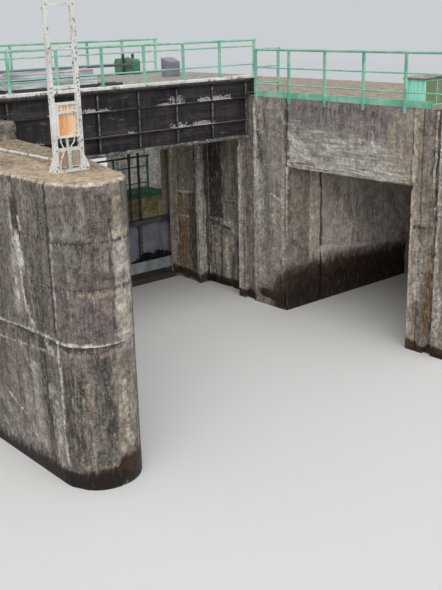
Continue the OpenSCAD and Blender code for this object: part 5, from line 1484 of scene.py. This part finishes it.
tray_conduit_left_path = [
    (-6.10, -4.56, 5.31), (-6.095, -4.565, 5.22), (-6.065, -4.57, 5.15), (-6.075, -4.57, 5.06),
        (-6.12, -4.585, 5.00), (-6.15, -4.60, 4.93), (-6.155, -4.60, 4.815)
]
tube("tray_conduit_left", tray_conduit_left_path, 0.011, white, "white_paint")
tray_conduit_right_path = [
    (-5.86, -4.56, 5.31), (-5.87, -4.565, 5.24), (-5.93, -4.575, 5.17), (-5.95, -4.58, 5.10),
        (-5.955, -4.585, 4.90), (-5.955, -4.585, 4.815)
]
tube("tray_conduit_right", tray_conduit_right_path, 0.011, white, "white_paint")
pipe_paint = paint("pipe paint", (0.42, 0.50, 0.44), (0.60, 0.64, 0.60), (0.16, 0.12, 0.09), 0.4, 0.5, 0.7)
tray_pipe_path = [
    (-5.99, -4.56, 5.31), (-5.99, -4.565, 5.20), (-5.99, -4.59, 5.05), (-5.99, -4.592, 4.90),
        (-5.99, -4.592, 4.812)
]
tube("tray_pipe", tray_pipe_path, 0.024, pipe_paint, "grey_paint")
plate_rust = group_material("shield plate", rust_group,
    {"Cream": (0.40, 0.35, 0.31), "Orange": (0.45, 0.25, 0.14), "Brown": (0.16, 0.10, 0.08)}, 0.5, 0.002)
work = bmesh.new()
add_plate(work, (-6.168, -4.5695, 4.87), (-5.792, -4.5645, 5.085))
piece_of(work, "shield_plate", plate_rust, "rusty_panel", edge=0.001)

refined("conduit", "conduit_pipe", white, "white_paint", edge=0.001, segments=1)
work = bmesh.new()
for y in (-4.2, -3.5, -2.8, -2.1, -1.4, -0.8):
    add_plate(work, (-5.72, y - 0.015, 4.795), (-5.64, y + 0.015, 4.853))
piece_of(work, "conduit_clips", zinc, "dark_steel", edge=0.004)

# WALKWAY BEHIND THE GATE
# A concrete beam, brown with algae, closes the opening over the leaf. Two channels
# and a grating on it make a walkway with a dark green railing.
algae_concrete = concrete("algae concrete", (0.50, 0.40, 0.125), (0.25, 0.185, 0.07), (0.24, 0.20, 0.12), 0.7)
dress("breast_beam", algae_concrete)
dark_green = paint(
    "dark green paint", (0.022, 0.115, 0.055), (0.050, 0.20, 0.10), (0.06, 0.035, 0.02), 0.4, 0.6, 0.8)
refined("walkway_beam", "walkway_channels", dark_green, "dark_green_paint", edge=0.003)
refined("walkway_railing", "walkway_rails", dark_green, "dark_green_paint", edge=0.0015, segments=1)
work = bmesh.new()
add_plate(work, (-4.65, 3.437, 1.652), (1.73, 3.449, 1.726))
piece_of(work, "seal_strip", lime_crust, "grey_paint", edge=0.002)
grate_tree, given = points_tree("grating", ("Length", "Float"), ("Thickness", "Float"), ("Depth", "Float"))
t = grate_tree
measure = add_node(t, "CombineXYZ", {0: given["Thickness"], 1: given["Length"], 2: given["Depth"]})
bar = add_node(t, "GeometryNodeMeshCube", {"Size": measure.outputs[0]})
deliver(t, given, on_points(t, given, bar))
bars = [(x, 3.757, 2.402) for x in np.arange(-4.63, 1.72, 0.034)]
grown("walkway_grating", bars, grate_tree, {
    "Length": 0.664, "Thickness": 0.006, "Depth": 0.022, "Material": dark_green}, "dark_green_paint")

# HOISTS
# Two gear cases stand over the slots, each between its lifting bars, and one shaft
# turns both. The cases are cast, with bolted covers and a filler cap.
case_paint = paint(
    "gear case paint", (0.035, 0.15, 0.08), (0.09, 0.28, 0.17), (0.05, 0.03, 0.02), 0.4, 0.6, 0.8)
case_bolts = []
case_places = {"hoist_near_pier": -3.61, "hoist_near_wall": 0.69}
for node, x in case_places.items():
    refined(node, node.replace("hoist", "gear_case"), case_paint, "dark_green_paint", edge=0.012, segments=3)
    work = bmesh.new()
    add_plate(work, (x - 0.09, 2.838, 5.66), (x + 0.09, 2.856, 5.90))
    add_plate(work, (x - 0.119, 3.0, 5.66), (x + 0.119, 3.5, 5.67))
    add_plate(work, (x - 0.08, 3.05, 5.97), (x + 0.08, 3.45, 5.992))
    add_plate(work, (x - 0.03, 3.2, 5.985), (x + 0.03, 3.26, 6.02))
    piece_of(work, node.replace("hoist", "case_cover"), case_paint, "dark_green_paint", edge=0.004)
    case_bolts += [(x + dx, 2.836, z, (0, -1, 0)) for dx in (-0.075, 0, 0.075) for z in (5.675, 5.885)]
    case_bolts += [(x + dx, y, 5.994, (0, 0, 1)) for dx in (-0.065, 0.065) for y in (3.07, 3.25, 3.43)]
refined("hoist_shaft", "drive_shaft", cover_steel, "dark_steel", edge=0.004)
for x in (-3.48, 0.56):
    inward = (1 if x < 0 else -1, 0, 0)
    for a in np.arange(0, 6.2, math.pi / 3):
        case_bolts.append((x, 2.96 + 0.055 * math.cos(a), 5.85 + 0.055 * math.sin(a), inward))
fasten("case_bolts", case_bolts, 0.011, 0.012, 6, zinc, "dark_steel")
cover_bolts = [(x, y, 5.582, (0, 0, 1)) for x in np.arange(-6.7, 2.0, 0.3) for y in (3.04, 3.70)
               if all(abs(x - case) > 0.31 for case in case_places.values())]
fasten("cover_bolts", cover_bolts, 0.010, 0.006, 8, zinc, "dark_steel")

# GATE LEAF
# A skin of plate with tee ribs in front, a deep bottom girder and a top girder.
# The paint has gone slate blue and grey, with rust below the joints. The leaf and
# its lifting bars move together, between the guides.
slate = paint("slate paint", (0.175, 0.182, 0.235), (0.30, 0.30, 0.37), (0.09, 0.05, 0.03), 0.38, 0.9, 0.8)
pale_slate = paint(
    "pale slate paint", (0.215, 0.255, 0.29), (0.40, 0.46, 0.49), (0.10, 0.06, 0.04), 0.42, 0.8, 0.8)
refined("gate_skin", "leaf_skin", slate, "gate_paint", "gate", edge=0.002)
# Painted shade: the slate paint darkened as it looks in shade, for the ribs and the top girder
slate_painted_shade = paint("dark slate paint", (0.040, 0.052, 0.066), (0.125, 0.120, 0.105), (0.06, 0.04, 0.03),
    0.45, 0.8, 0.8, shine=0.3)
refined("gate_ribs", "leaf_ribs", slate_painted_shade, "gate_paint", "gate", edge=0.002)
leaf_frame = refined("gate_frame", "leaf_frame", pale_slate, "gate_paint", "gate", edge=0.003)
# The top girder takes the slate paint in painted shade, for the shade of the beam over it
leaf_frame.data.materials.append(slate_painted_shade)
for face in leaf_frame.data.polygons:
    face.material_index = int(face.center.z > 1.5)
bar_steel = steel("lifting bar steel", (0.045, 0.045, 0.042), (0.085, 0.070, 0.052), (0.2, 0.19, 0.17),
    0.4, 0.5,
    0.4, 0.003, shine=0.3)
for node in ("stem_near_pier", "stem_near_wall"):
    refined(node, node.replace("stem", "lifting_bars"), bar_steel, "dark_steel", "gate", edge=0.004)
leaf_rivets = []
for i in range(6):
    x = -4.66 + 6.4 * (i + 1) / 7
    leaf_rivets += [
        (x + dx, 3.218, z, (0, -1, 0)) for dx in (-0.03, 0.03) for z in np.arange(0.60, 1.54, 0.13)]
leaf_rivets += [(x, 3.354, z, (0, 1, 0)) for x in np.arange(-4.8, 1.95, 0.2) for z in (0.35, 0.95, 1.6)]
fasten("leaf_rivets", leaf_rivets, 0.013, 0.006, 8, slate, "gate_paint", "gate")
# Black drift has settled on the bottom girder, in heaps against the skin; its near-black colour is partly
# painted shade
rng = random.Random(23)
heaps = [(rng.uniform(-4.5, 1.6), 3.19 - abs(rng.gauss(0, 0.035)), 0.555 + rng.random() * 0.02)
    for _ in range(150)]
for middle, width, rise in (
    (1.45, 0.42, 0.22), (0.95, 0.45, 0.20), (-0.35, 0.35, 0.10), (-2.6, 0.5, 0.14), (-3.9, 0.4, 0.2)):
    for _ in range(130):
        off = rng.gauss(0, 0.5)
        up = rng.random() * rise * math.exp(-off * off * 2)
        heaps.append((middle + width * off, 3.20 - rng.random() * 0.10 * (1 - up / rise), 0.56 + up))
# The drift is coloured near black, so that it also stands for the shade over the bottom girder's shelf
drift_and_shade = steel("black drift", (0.007, 0.007, 0.007), (0.018, 0.015, 0.014), (0.05, 0.047, 0.043), 0.3, 0.2,
    0.9, 0.01, shine=0.1)
grown("settled_drift", heaps, crust_tree, {
    "Least": (0.019, 0.016, 0.007), "Most": (0.055, 0.030, 0.019), "Ruffle": (0.06, 0.02, 0.04),
    "Seed": 9, "Material": drift_and_shade}, "dark_steel", "gate")
